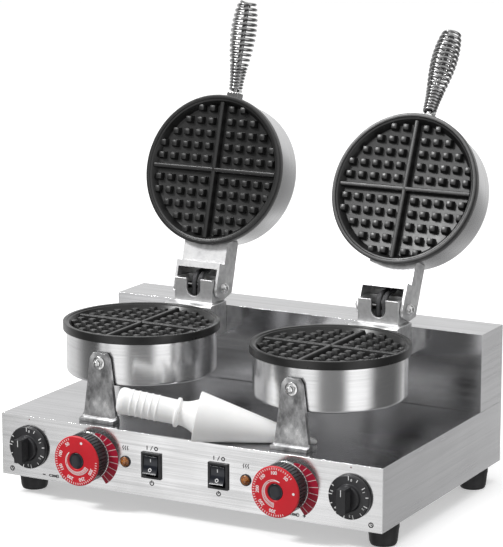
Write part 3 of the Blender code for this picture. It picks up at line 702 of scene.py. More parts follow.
def make_rear_housing():
    """The box across the back, its riveted louvred cover and the cable gland."""
    root = shift(0, FRONT_Y, 0)
    top = DECK_Z + HOUSING_HEIGHT
    steps = [
        box_mesh("housing", (-HALF_WIDTH, HOUSING_FRONT_Y, DECK_Z + GAP), (HALF_WIDTH, DEPTH, top)),
        ("DIFFERENCE", box_mesh(
            "hollow", (-HALF_WIDTH + SHEET, HOUSING_FRONT_Y + SHEET, 0.0),
            (HALF_WIDTH - SHEET, DEPTH + 0.01, top - SHEET),
        )),
    ]
    for sign in SIDES.values():
        hole = rod_mesh("hole", 0.0100, 0.01, 48)
        hole.transform(shift(sign * HEAD_X, HOUSING_FRONT_Y, HINGE_Z - 0.0345) @ FACING)
        steps.append(("DIFFERENCE", hole))
    cut_piece("housing_box", steps, "deck", "machine", root, ("rear_housing",), 0.0010, 3)

    edge = 2 * SHEET
    cover = [box_mesh(
        "cover", (-HALF_WIDTH + edge, DEPTH - 2 * SHEET, DECK_Z + 2 * GAP),
        (HALF_WIDTH - edge, DEPTH - SHEET, top - edge),
    )]
    bm = bmesh.new()
    lips = bmesh.new()
    for column in (-0.110, 0.110):
        for row in range(4):
            z = DECK_Z + 0.030 + 0.012 * row
            box_into(bm, (column - 0.035, DEPTH - 0.006, z - 0.002), (column + 0.035, DEPTH, z + 0.002))
            lip = (column - 0.0345, DEPTH - 0.0024, z + 0.0004)
            box_into(lips, lip, (column + 0.0345, DEPTH - 0.0002, z + 0.0019))
    cover.append(("DIFFERENCE", mesh_from("louvres", bm)))
    cut_piece("back_cover", cover, "panel", "machine", root, ("rear_cover",), 0.0003)
    piece("louvre_lips", mesh_from("lips", lips), "panel", "machine", root, (), 0.0005)
    bm = bmesh.new()
    for x in (-0.235, -0.080, 0.080, 0.235):
        for z in (DECK_Z + 0.010, top - 0.012):
            bmesh.ops.create_uvsphere(
                bm, u_segments=24, v_segments=12, radius=0.0034,
                matrix=shift(x, DEPTH - SHEET, z) @ Matrix.Diagonal((1.0, 0.38, 1.0, 1.0)),
            )
    piece("back_screws", mesh_from("back_screws", bm), "wire", "machine", root)

    gland = [
        (0.0045, 0.018), (0.0085, 0.018), (0.0105, 0.015), (0.0105, 0.0065), (0.0122, 0.0060),
        (0.0122, GAP), (0.0078, GAP), (0.0078, -0.014), (0.0045, -0.014), (0.0045, 0.017),
    ]
    place = shift(0.170, FRONT_Y + DEPTH, FOOT_HEIGHT + 0.036) @ turn(-math.pi / 2, "X")
    turned("inlet_gland", rounded(gland, 0.0006), 48, "black", "machine", place, ("cable_gland",))
    outline = arc((0, 0), 0.0125, 0, 300, 5)
    extruded("inlet_nut", outline, 0.0012, 0.0058, "xy", "black", "machine", place, (), 0.0006)


# ---------------------------------------------------------------- baking heads


def peg_into(bm, x, y, foot, height, base, top):
    """A truncated peg with a softened crown."""
    size = shift(x, y, foot + height / 2) @ turn(math.pi / 4, "Z")
    made = bmesh.ops.create_cone(
        bm, cap_ends=True, segments=4, radius1=base / math.sqrt(2), radius2=top / math.sqrt(2),
        depth=height, matrix=size,
    )
    crown = [
        edge for vert in made["verts"] for edge in vert.link_edges
        if vert.co.z > foot + height * 0.5
    ]
    bmesh.ops.bevel(
        bm, geom=list(set(crown)), offset=0.0006, segments=2, profile=0.5, affect="EDGES",
        clamp_overlap=True,
    )


def plate_mesh(name):
    """A baking plate facing +Z: rim, tray, cross ridges and truncated pegs."""
    profile = [
        (0, -TRAY_DEPTH), (FLOOR_RADIUS, -TRAY_DEPTH), (LIP_RADIUS - 0.0006, -0.0014),
        (LIP_RADIUS + 0.0016, -0.0012), (LIP_RADIUS + 0.0020, 0), (RIM_RADIUS, 0),
        (RIM_RADIUS, -RIM_HEIGHT), (SPIGOT_RADIUS, -RIM_HEIGHT), (SPIGOT_RADIUS, -PLATE_DEPTH),
        (0, -PLATE_DEPTH),
    ]
    bm = bmesh.new()
    bm.from_mesh(turned_mesh("tray", rounded(profile, 0.0007, 3), 144))
    foot = -TRAY_DEPTH - 0.0004
    pattern = bmesh.new()
    spots = [PEG_FIRST + PEG_PITCH * i for i in range(5)]
    for x in spots:
        for y in spots:
            if math.hypot(x, y) <= PEG_REACH:
                for sx, sy in ((1, 1), (1, -1), (-1, 1), (-1, -1)):
                    peg_into(pattern, sx * x, sy * y, foot, PEG_HEIGHT + 0.0004, PEG_BASE, PEG_TOP)
    crest = RIDGE_HEIGHT - TRAY_DEPTH
    outline = rounded([
        (-RIDGE_BASE / 2, foot), (-RIDGE_TOP / 2, crest), (RIDGE_TOP / 2, crest), (RIDGE_BASE / 2, foot)
    ], 0.0012)
    reach = (LIP_RADIUS + FLOOR_RADIUS) / 2 + 0.0005
    for axes in ("yz", "xz"):
        pattern.from_mesh(prism_mesh("ridge", outline, -reach, reach, axes))
    for vert in pattern.verts:
        depth = max(-TRAY_DEPTH, min(0.0, vert.co.z))
        wall = FLOOR_RADIUS + (LIP_RADIUS - FLOOR_RADIUS) * (1 + depth / TRAY_DEPTH) + 0.0006
        across = math.hypot(vert.co.x, vert.co.y)
        if across > wall:
            vert.co.x *= wall / across
            vert.co.y *= wall / across
    joined = bpy.data.meshes.new("pattern")
    pattern.to_mesh(joined)
    pattern.free()
    bm.from_mesh(joined)
    return mesh_from(name, bm, 40.0)


def casing_mesh(name, height):
    """A spun cup, open at the top, standing on z = 0, with a rolled foot."""
    inner = CASING_RADIUS - SHEET
    profile = [
        (0, 0), (CASING_RADIUS - 0.0042, 0), (CASING_RADIUS - 0.0018, 0.0007),
        (CASING_RADIUS - 0.0004, 0.0021), (CASING_RADIUS, 0.0042), (CASING_RADIUS, height - 0.0004),
        (CASING_RADIUS - 0.0004, height), (inner, height), (inner, SHEET), (0, SHEET),
    ]
    return turned_mesh(name, rounded(profile, 0.0008), 160)


def make_lower_head(side):
    """The fixed half with its strut and its domed fastening."""
    sign = SIDES[side]
    x = sign * HEAD_X
    centre = (x, FRONT_Y + HEAD_Y)
    plate_top = PARTING_Z - GAP
    piece(
        f"{side}_lower_iron", plate_mesh(f"{side}_lower_iron"), "iron", "machine",
        shift(*centre, plate_top), (f"{side}_lower_plate",),
    )
    height = plate_top - RIM_HEIGHT - GAP - LOWER_CASING_BOTTOM
    piece(
        f"{side}_lower_cup", casing_mesh(f"{side}_lower_cup", height), "round", "machine",
        shift(*centre, LOWER_CASING_BOTTOM), (f"{side}_lower_casing",),
    )

    outline = [
        (-0.0224, 0.0), (0.0224, 0.0), (0.0127, 0.0752), (0.0086, 0.0815), (-0.0086, 0.0815),
        (-0.0127, 0.0752),
    ]
    tread = [
        (0.0122, 0.0), (0.0122, 0.0042), (0.0190, 0.0044), (0.0202, 0.0052), (0.0208, 0.0080),
        (0.0262, 0.0080), (0.0264, 0.0038), (0.0275, 0.0034), (0.0275, 0.0),
    ]
    hole = rod_mesh("hole", 0.0034, 0.02, 32)
    hole.transform(shift(0, 0.0205, 0.0702) @ FACING)
    place = shift(x, FRONT_Y, DECK_Z + GAP)
    cut_piece(f"{side}_front_strut", [
        prism_mesh("upright", outline, 0.0206, 0.0262, "xz"),
        ("UNION", prism_mesh("tread", tread, -0.0232, 0.0232, "yz")),
        ("DIFFERENCE", hole),
    ], "strut", "machine", place, (f"{side}_strut",), 0.0007, 3)

    bolt_place = shift(x, FRONT_Y + 0.0205, DECK_Z + 0.0705) @ FACING
    dome = rounded([
        (0, 0.0086), (0.0026, 0.0081), (0.0042, 0.0064), (0.0047, 0.0044), (0.0050, 0.0040),
        (0.0050, 0.0018), (0.0078, 0.0016), (0.0078, GAP), (0.0030, GAP), (0.0030, -0.0062),
        (0.0070, -0.0062), (0.0070, -0.0098), (0, -0.0098),
    ], 0.0005)
    turned(f"{side}_dome_bolt", dome, 48, "wire", "machine", bolt_place, (f"{side}_strut_bolt",))
    outline = arc((0, 0), 0.0060, 15, 315, 5)
    extruded(f"{side}_dome_hexagon", outline, 0.0016, 0.0044, "xy", "wire", "machine", bolt_place, (), 0.0005)


def pin_bore():
    """The cutter for the hinge pin's hole."""
    bore = rod_mesh("bore", 0.0044, 0.05, 48)
    bore.transform(turn(math.pi / 2, "Y"))
    return bore


def head_saddle(low, high):
    """The cutter that lets a hinge casting fit round a casing."""
    reach = CASING_RADIUS + 0.0004
    saddle = turned_mesh("saddle", [(0, low), (reach, low), (reach, high), (0, high)], 96)
    saddle.transform(shift(0, HEAD_Y - HINGE_Y, 0))
    return saddle


def make_hinge_base(side):
    """The cast bracket with its neck, its hollow post and the notch for the conduits."""
    x = SIDES[side] * HEAD_X
    place = shift(x, FRONT_Y + HINGE_Y, HINGE_Z)
    back = HOUSING_FRONT_Y - HINGE_Y - GAP
    notch = [(-0.0095, 0.0340), (-0.0095, 0.0)] + arc((0, 0), 0.0095, 180, 360, 20)[1:-1]
    notch += [(0.0095, 0.0), (0.0095, 0.0340)]
    bore = pin_bore()
    saddle = head_saddle(-0.10, 0.02)
    block = [
        (-0.0340, -0.0560), (-0.0340, -0.0185), (-0.0310, -0.0165), (back, -0.0165), (back, -0.0560),
    ]
    cut_piece(f"{side}_bracket", [
        prism_mesh("block", block, -0.0330, 0.0330, "yz"),
        ("UNION", box_mesh("post", (-0.0266, -0.0195, -0.0180), (0.0266, 0.0125, 0.0125))),
        ("UNION", box_mesh("neck", (-0.0200, -0.0620, -0.0545), (0.0200, -0.0330, -0.0245))),
        ("DIFFERENCE", box_mesh("bay", (-0.0225, -0.0155, -0.0465), (0.0225, 0.0085, 0.0400))),
        ("DIFFERENCE", prism_mesh("notch", notch, -0.0250, -0.0100, "xz")),
        ("DIFFERENCE", bore),
        ("DIFFERENCE", saddle),
    ], "cast", "machine", place, (f"{side}_hinge_base",), 0.0010, 3)

    across = place @ turn(math.pi / 2, "Y")
    inner = EAR_OUTER + GAP
    shaft = rod_mesh(f"{side}_pin", 0.0040, inner, 48)
    piece(f"{side}_pin", shaft, "dark_steel", "machine", across, (f"{side}_hinge_pin",))
    nut = rounded([
        (0, 0.0385), (0.0024, 0.0382), (0.0044, 0.0370), (0.0056, 0.0350), (0.0058, 0.0338),
        (0.0068, 0.0336), (0.0068, inner), (0, inner),
    ], 0.0004)
    for end, flip in (("near", 0.0), ("far", math.pi)):
        spot = across @ turn(flip, "X")
        turned(f"{side}_nut_{end}", nut, 48, "wire", "machine", spot)
        outline = arc((0, 0), 0.0064, 15, 315, 5)
        extruded(f"{side}_hexagon_{end}", outline, 0.0326, 0.0352, "xy", "wire", "machine", spot, (), 0.0004)


def make_hinge_arm(side):
    """The yoke round the post and the neck up to the lid."""
    ears = [(-0.0290, -0.0150), (0.0020, -0.0150)]
    ears += arc((0.0030, -0.0050), 0.0100, -85, 0, 10)
    ears += [(0.0130, 0.0085), (0.0030, 0.0255), (-0.0290, 0.0255)]
    bore = pin_bore()
    saddle = head_saddle(-0.05, 0.10)
    neck = box_mesh("neck", (-0.0303, -0.0680, -0.0025), (0.0303, -0.0280, 0.0253))
    cut_piece(f"{side}_yoke", [
        prism_mesh("ears", ears, -EAR_OUTER, EAR_OUTER, "yz"),
        ("UNION", neck),
        ("DIFFERENCE", box_mesh("bay", (-EAR_INNER, -0.0250, -0.0119), (EAR_INNER, 0.0400, 0.0222))),
        ("DIFFERENCE", box_mesh("window", (-EAR_INNER, -0.0212, -0.0300), (EAR_INNER, 0.0400, -0.0100))),
        ("DIFFERENCE", box_mesh("way", (-0.0130, -0.0900, 0.0010), (0.0130, -0.0200, 0.0195))),
        ("DIFFERENCE", bore),
        ("DIFFERENCE", saddle),
    ], "cast", f"{side}_lid", lid_place(side), (f"{side}_hinge_arm",), 0.0013, 3)


def coil_points(steps=20):
    """The centre line of the tapered handle coil, from the collar to the tip, along -Y."""
    points = []
    along = COIL_WIRE_RADIUS
    angle = 0.0
    while along < COIL_LENGTH - 0.0002:
        if along < COIL_FULL_AT:
            share = along / COIL_FULL_AT
            swell = share * share * (3 - 2 * share)
            radius = COIL_START_RADIUS + (COIL_FULL_RADIUS - COIL_START_RADIUS) * swell
        else:
            radius = COIL_FULL_RADIUS * math.sqrt(1 - ((along - COIL_FULL_AT) / COIL_CLOSING) ** 2)
        points.append((radius * math.cos(angle), -along, radius * math.sin(angle)))
        pitch = COIL_TIGHT_PITCH if along < COIL_WIDENS_AT else COIL_WIDE_PITCH
        along += pitch / steps
        angle += math.tau / steps
    return points


def make_lid(side):
    """The lid's plate and casing, and the handle: a collar and rod inside a bare coil."""
    body = f"{side}_lid"
    lid = lid_place(side)
    y = HEAD_Y - HINGE_Y
    over = turn(math.pi, "X")
    face = PARTING_Z - HINGE_Z + GAP
    piece(
        f"{side}_upper_iron", plate_mesh(f"{side}_upper_iron"), "iron", body,
        lid @ shift(0, y, face) @ over, (f"{side}_upper_plate",),
    )
    height = UPPER_CASING_BACK - RIM_HEIGHT - 2 * GAP
    cup_place = shift(0, y, PARTING_Z - HINGE_Z + UPPER_CASING_BACK) @ over
    way = box_mesh("way", (-0.0130, -0.0800, 0.0050), (0.0130, -0.0400, 0.0195))
    way.transform(cup_place.inverted())
    steps = [casing_mesh("cup", height), ("DIFFERENCE", way)]
    cut_piece(f"{side}_upper_cup", steps, "round", body, lid @ cup_place, (f"{side}_upper_casing",))

    root_y = y - CASING_RADIUS - GAP
    centre_z = PARTING_Z - HINGE_Z + HANDLE_HEIGHT
    half = COLLAR_SIZE / 2
    wide = half + 0.001
    groove = box_mesh("groove", (-wide, -0.0068, half - 0.0006), (wide, -0.0056, wide))
    collar = box_mesh("collar", (-half, -COLLAR_LENGTH, -half), (half, 0.0, half))
    place = lid @ shift(0, root_y, centre_z)
    cut_piece(
        f"{side}_collar", [collar, ("DIFFERENCE", groove)], "coil", body, place,
        (f"{side}_handle_rod",), 0.0018, 4,
    )
    grip = lid @ shift(0, root_y - COLLAR_LENGTH - 4 * GAP, centre_z) @ turn(-HANDLE_TILT[side], "X")
    reach = COIL_LENGTH - 0.003
    rod = rounded([
        (0, -0.004), (0.0030, -0.004), (0.0030, reach - 0.007), (0.0045, reach - 0.006),
        (0.0045, reach - 0.002), (0.0030, reach), (0, reach),
    ], 0.0008)
    turned(f"{side}_rod", rod, 32, "coil", body, grip @ FACING)
    coil = tube_mesh(f"{side}_grip_coil", coil_points(), COIL_WIRE_RADIUS + 0.0002, 10)
    piece(f"{side}_grip_coil", coil, "coil", body, grip, (f"{side}_handle_coil",))


def make_conduits(side):
    """Two braided conduits from the housing, through the post's notch and into the arm."""
    swing = LID_OPEN[side]

    def on_lid(y, z):
        back = y * math.cos(swing) + z * math.sin(swing)
        return back, -y * math.sin(swing) + z * math.cos(swing)

    route = [
        (0.0220, -0.0345), (0.0060, -0.0345), (-0.0045, -0.0305), (-0.0090, -0.0190),
        (-0.0098, -0.0040), (-0.0080, 0.0080), (-0.0010, 0.0162), on_lid(-0.0205, 0.0062),
        on_lid(-0.0280, 0.0095), on_lid(-0.0380, 0.0105), on_lid(-0.0540, 0.0105),
    ]
    hinge = Vector((SIDES[side] * HEAD_X, FRONT_Y + HINGE_Y, HINGE_Z))
    for letter, across in (("a", -CABLE_SPREAD), ("b", CABLE_SPREAD)):
        points = smooth_route([hinge + Vector((across, y, z)) for y, z in route])
        mesh = tube_mesh(f"{side}_conduit_{letter}", points, CABLE_RADIUS, 16)
        made = piece(f"{side}_conduit_{letter}", mesh, "braid", None, None)
        start = hinge + Vector((across, *route[4]))
        end = hinge + Vector((across, *route[8]))
        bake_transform(made)
        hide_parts(f"{side}_lid_cable_{letter}")


# ---------------------------------------------------------------- controls


def text_into(bm, words, size, place):
    """Adds flat numerals, centred on a place."""
    curve = bpy.data.curves.new("numerals", "FONT")
    curve.body = words
    curve.size = size
    curve.align_x = "CENTER"
    curve.align_y = "CENTER"
    curve.extrude = 0.00008
    curve.offset = size * 0.02
    carrier = bpy.data.objects.new("numerals", curve)
    bpy.context.collection.objects.link(carrier)
    bpy.context.view_layer.update()
    graph = bpy.context.evaluated_depsgraph_get()
    mesh = bpy.data.meshes.new_from_object(carrier.evaluated_get(graph))
    bpy.data.objects.remove(carrier, do_unlink=True)
    mesh.transform(place)
    bm.from_mesh(mesh)
    bpy.data.meshes.remove(mesh)


def ticks_into(bm, radius, length, width, angles, height, thick=0.00015):
    """Adds radial marks, at angles in degrees counted from +X."""
    for angle in angles:
        place = turn(math.radians(angle), "Z") @ shift(radius + length / 2, 0, height)
        bmesh.ops.create_cube(bm, size=1.0, matrix=place @ Matrix.Diagonal((length, width, thick, 1.0)))


def disc_into(bm, x, y, radius, height, thick=0.00015, segments=32):
    bmesh.ops.create_cone(
        bm, cap_ends=True, segments=segments, radius1=radius, radius2=radius, depth=thick,
        matrix=shift(x, y, height),
    )


def band_into(bm, inner, outer, angles, height, thick=0.00015):
    """Adds a flat band between two radius functions of the angle."""
    low = height - thick / 2
    rows = []
    for angle in angles:
        t = math.radians(angle)
        rows.append([
            bm.verts.new((reach * math.cos(t), reach * math.sin(t), z))
            for reach in (inner(angle), outer(angle)) for z in (low, low + thick)
        ])
    for first, second in zip(rows, rows[1:]):
        for a, b in ((0, 1), (1, 3), (3, 2), (2, 0)):
            bm.faces.new((first[a], first[b], second[b], second[a]))
    for row in (rows[0], rows[-1]):
        bm.faces.new((row[0], row[1], row[3], row[2]))


def make_timer(side):
    """The timer: a dished black dial with white marks and a tall grip bar."""
    body = f"{side}_timer"
    place = at_panel(SIDES[side] * TIMER_X)
    skirt = rounded([
        (0.0033, 0.0080), (0.0033, 0.0005), (TIMER_RADIUS - 0.001, 0.0005), (TIMER_RADIUS, 0.0012),
        (TIMER_RADIUS, 0.0048), (TIMER_RADIUS - 0.0012, 0.0058), (0.0165, 0.0066), (0.0152, 0.0070),
        (0.0146, 0.0108), (0.0136, 0.0114), (0, 0.0114),
    ], 0.0007)
    turned(f"{side}_timer_dial", skirt, 96, "black", body, place, (f"{side}_timer_knob",))
    grip = [
        (-0.0055, -0.0110), (-0.0049, -0.0142), (0.0049, -0.0142), (0.0055, -0.0110),
        (0.0055, 0.0110), (0.0049, 0.0142), (-0.0049, 0.0142), (-0.0055, 0.0110),
    ]
    steps = [prism_mesh("bar", grip, 0.0090, 0.0257, "xy")]
    for row in range(5):
        low = 0.0138 + 0.0022 * row
        for x in (-0.0065, 0.0051):
            groove = box_mesh("groove", (x, -0.0100, low), (x + 0.0014, 0.0100, low + 0.0009))
            steps.append(("DIFFERENCE", groove))
    cut_piece(f"{side}_timer_bar", steps, "black", body, place, (), 0.0004, 2)
    bm = bmesh.new()
    for step in range(12):
        long = 0.0046 if step % 2 == 0 else 0.0034
        ticks_into(bm, 0.0247 - long, long, 0.0009, [90 - 27.5 * step], 0.00652)
    for step, word in enumerate(("0", "1", "2", "3", "4", "5")):
        angle = math.radians(90 - 55 * step) - 0.17
        spot = shift(0.0207 * math.cos(angle), 0.0207 * math.sin(angle), 0.00668)
        text_into(bm, word, 0.0040, spot @ turn(angle - math.pi / 2, "Z"))
    box_into(bm, (-0.0004, 0.0060, 0.0256), (0.0004, 0.0138, 0.02578))
    piece(f"{side}_timer_marks", mesh_from("marks", bm), "print", body, place)


def make_thermostat(side):
    """The thermostat: a ribbed barrel with a red numbered face, over a printed red scale."""
    body = f"{side}_thermostat"
    place = at_panel(SIDES[side] * THERMOSTAT_X)
    outline = []
    ribs = 44
    for rib in range(ribs):
        for share, groove in ((0.0, 0.0), (0.55, 0.0), (0.68, 0.0011), (0.87, 0.0011)):
            t = math.tau * (rib + share) / ribs
            radius = KNOB_RADIUS - groove
            outline.append((radius * math.cos(t), radius * math.sin(t)))
    extruded(
        f"{side}_barrel", outline, 0.0040, 0.0234, "xy", "barrel", body, place, (f"{side}_thermostat_knob",)
    )
    band = rounded([
        (0.0040, 0.0005), (KNOB_RADIUS, 0.0005), (KNOB_RADIUS, 0.0018), (KNOB_RADIUS - 0.0012, 0.0022),
        (0.0040, 0.0022),
    ], 0.0003)
    turned(f"{side}_barrel_ring", band, 96, "wire", body, place)
    neck = [(0, 0.0018), (0.0280, 0.0018), (0.0280, 0.0045), (0, 0.0045)]
    turned(f"{side}_barrel_neck", neck, 96, "black", body, place)
    dial = rounded([
        (0.0095, 0.0237), (DIAL_RADIUS, 0.0237), (DIAL_RADIUS, 0.0253), (DIAL_RADIUS - 0.0010, DIAL_FACE),
        (0.0104, DIAL_FACE), (0.0095, 0.0252), (0.0095, 0.0240),
    ], 0.0005)
    turned(f"{side}_dial_face", dial, 96, "red", body, place, (f"{side}_thermostat_dial",))
    hub = rounded([
        (0, 0.0247), (0.0070, 0.0250), (0.0086, 0.0259), (0.0094, 0.0256), (0.0094, 0.0234), (0, 0.0234)
    ], 0.0005)
    turned(f"{side}_dial_hub", hub, 64, "gloss_black", body, place)

    pointer = {"left": 72.0, "right": 2.0}[side]
    height = DIAL_FACE + 0.00008
    bm = bmesh.new()
    scale = [pointer + 40 + 250 * step / 40 for step in range(41)]
    ticks_into(bm, 0.0258, 0.0024, 0.0007, scale, height)
    for step, word in enumerate(("50", "100", "150", "200", "250", "300")):
        angle = math.radians(pointer + 50 + 42 * step)
        spot = shift(0.0220 * math.cos(angle), 0.0220 * math.sin(angle), height)
        text_into(bm, word, 0.0056, spot @ turn(angle - math.pi / 2, "Z"))
    start = pointer + 62

    def outer(angle):
        return 0.0136 + 0.0046 * (angle - start) / 200

    arc_angles = [start + 200 * step / 60 for step in range(61)]
    band_into(bm, lambda angle: outer(angle) - 0.0007, outer, arc_angles, height)
    band_into(bm, lambda angle: 0.0126, lambda angle: 0.0131, arc_angles, height)
    for step in range(24):
        angle = start + 70 + 130 * step / 23
        ticks_into(bm, 0.0128, outer(angle) - 0.0128, 0.0006, [angle], height)
    t = math.radians(pointer)
    disc_into(bm, 0.0232 * math.cos(t), 0.0232 * math.sin(t), 0.0016, height)
    piece(f"{side}_dial_marks", mesh_from("marks", bm), "print", body, place)

    def reach(angle):
        share = max(0.0, min(1.0, (70 - angle) / 70))
        swell = math.sin(share * math.pi / 2)
        return 0.0304 + 0.0106 * swell - 0.0020 * max(0.0, -angle / 52) ** 2

    bm = bmesh.new()
    band_into(bm, lambda angle: 0.0180, reach, [-52 + 122 * step / 60 for step in range(61)], 0.0001)
    piece(f"{side}_panel_scale", mesh_from("scale", bm), "scale_red", "machine", place)
    bm = bmesh.new()
    for step in range(9):
        angle = -44 + 12.5 * step
        ticks_into(bm, 0.0296, reach(angle) - 0.0296, 0.0005, [angle], 0.00022, 0.00008)
    piece(f"{side}_panel_scale_marks", mesh_from("scale_marks", bm), "print", "machine", place)


def make_switch(side):
    """The rocker switch in its bezel."""
    place = shift(SIDES[side] * SWITCH_X, FRONT_Y, CONTROL_Z)
    cut_piece(f"{side}_bezel", [
        box_mesh("bezel", (-0.0130, -0.0026, -0.0155), (0.0130, -0.0001, 0.0155)),
        ("UNION", box_mesh("case", (-0.0109, -0.0010, -0.0139), (0.0109, 0.0240, 0.0139))),
        ("DIFFERENCE", box_mesh("well", (-0.0096, -0.0200, -0.0126), (0.0096, 0.0130, 0.0126))),
    ], "black", "machine", place, (f"{side}_switch_housing",), 0.0006, 3)
    body = f"{side}_switch"
    pivot = place @ shift(0, 0.0030, 0) @ turn(-ROCKER_TILT, "X")
    paddle = [(-0.0084, -0.0106)]
    for step in range(1, 12):
        z = -0.0106 + 0.0212 * step / 12
        paddle.append((-0.0058 - 0.0026 * (z / 0.0106) ** 2, z))
    paddle += [(-0.0084, 0.0106), (0.0, 0.0106), (0.0055, 0.0050), (0.0055, -0.0050), (0.0, -0.0106)]
    extruded(
        f"{side}_paddle", paddle, -0.0091, 0.0091, "yz", "gloss_black", body, pivot, (f"{side}_rocker",),
        0.0005, 2,
    )
    bm = bmesh.new()
    lean = 0.0026 * 2 * 0.0056 / 0.0106 ** 2
    for sign in (1, -1):
        z = sign * 0.0056
        face = -0.0058 - 0.0026 * (z / 0.0106) ** 2 - 0.00006
        mark = shift(0, face, z) @ turn(sign * math.atan(lean), "X") @ FACING
        if sign > 0:
            box = mark @ Matrix.Diagonal((0.0009, 0.0040, 0.00012, 1.0))
            bmesh.ops.create_cube(bm, size=1.0, matrix=box)
        else:
            ring = bmesh.new()
            band_into(ring, lambda angle: 0.0014, lambda angle: 0.0022, range(0, 361, 12), 0.0)
            joined = bpy.data.meshes.new("ring")
            bmesh.ops.remove_doubles(ring, verts=ring.verts, dist=1e-6)
            ring.to_mesh(joined)
            ring.free()
            joined.transform(mark)
            bm.from_mesh(joined)
    piece(f"{side}_paddle_marks", mesh_from("marks", bm), "print", body, pivot)


def make_lamp(side):
    """The amber lamp in its thin bezel."""
    place = at_panel(SIDES[side] * LAMP_X)
    lens = rounded([
        (0, 0.0058), (0.0022, 0.0055), (0.0042, 0.0043), (0.0054, 0.0026), (0.0058, 0.0010),
        (0.0058, 0.0004), (0, 0.0004),
    ], 0.0006)
    turned(f"{side}_lamp_lens", lens, 48, "amber", "machine", place, (f"{side}_heat_lamp",))
    rim = rounded([
        (0.0056, 0.0002), (0.0069, 0.0002), (0.0069, 0.0010), (0.0060, 0.0014), (0.0056, 0.0010)
    ], 0.0002)
    turned(f"{side}_lamp_rim", rim, 48, "gloss_black", "machine", place)


def stroke_into(bm, points, width, height, thick=0.00016):
    """Adds a flat printed line through points on the panel."""
    for (x0, y0), (x1, y1) in zip(points, points[1:]):
        length = math.hypot(x1 - x0, y1 - y0) + width * 0.6
        place = shift((x0 + x1) / 2, (y0 + y1) / 2, height) @ turn(math.atan2(y1 - y0, x1 - x0), "Z")
        bmesh.ops.create_cube(bm, size=1.0, matrix=place @ Matrix.Diagonal((length, width, thick, 1.0)))


def ring_into(bm, x, y, radius, width, start, end, height):
    """Adds a printed arc."""
    stroke_into(bm, arc((x, y), radius, start, end, 24), width, height)


def make_panel_print():
    """Plain symbols in place of words, and the index dots over the dials."""
    root = shift(0, FRONT_Y, 0) @ FACING
    ink = bmesh.new()
    dots = bmesh.new()
    line = 0.0011
    flat = 0.0001
    for sign in SIDES.values():
        disc_into(dots, sign * THERMOSTAT_X, DECK_Z - 0.0042, 0.0009, flat)
        disc_into(dots, sign * TIMER_X, DECK_Z - 0.0036, 0.0009, flat)

        x, y = sign * SWITCH_X, CONTROL_Z + 0.0205
        stroke_into(ink, [(x - 0.0060, y - 0.0020), (x - 0.0060, y + 0.0020)], line, flat)
        stroke_into(ink, [(x - 0.0012, y - 0.0024), (x + 0.0012, y + 0.0024)], line * 0.8, flat)
        ring_into(ink, x + 0.0060, y, 0.0019, line, 0, 360, flat)
        y = CONTROL_Z - 0.0212
        ring_into(ink, x, y, 0.0024, line, 125, 415, flat)
        stroke_into(ink, [(x, y + 0.0003), (x, y + 0.0032)], line, flat)

        x, y = sign * LAMP_X, CONTROL_Z + 0.0165
        for wave in (-0.0030, 0.0, 0.0030):
            curl = [
                (x + wave + 0.0006 * math.sin(1.4 * step), y - 0.0024 + 0.0008 * step) for step in range(7)
            ]
            stroke_into(ink, curl, line * 0.8, flat)

        x, y = sign * (TIMER_X + 0.0250), CONTROL_Z - 0.0295
        ring_into(ink, x, y, 0.0026, line, 0, 360, flat)
        stroke_into(ink, [(x, y + 0.0017), (x, y), (x + 0.0013, y - 0.0007)], line * 0.8, flat)

        x, y = {-1: -0.178, 1: 0.140}[sign], CONTROL_Z - 0.0312
        stroke_into(ink, [(x - 0.0150, y), (x - 0.0118, y)], line, flat)
        stroke_into(ink, [(x + 0.0118, y), (x + 0.0150, y)], line, flat)
        stroke_into(ink, [(x + 0.0134, y - 0.0016), (x + 0.0134, y + 0.0016)], line, flat)
        bulb = [(x - 0.0052, y + 0.0010), (x + 0.0040, y + 0.0010)]
        bulb += arc((x + 0.0050, y), 0.0018, 140, -140, 10)
        bulb += [(x + 0.0040, y - 0.0010), (x - 0.0052, y - 0.0010)]
        stroke_into(ink, bulb + arc((x - 0.0052, y), 0.0010, 270, 90, 6), line * 0.7, flat)
        stroke_into(ink, [(x - 0.0020, y), (x + 0.0050, y)], line * 0.7, flat)
    piece("panel_symbols", mesh_from("symbols", ink), "ink", "machine", root)
    piece("panel_index_dots", mesh_from("dots", dots), "dot", "machine", root)


# ---------------------------------------------------------------- cone roller


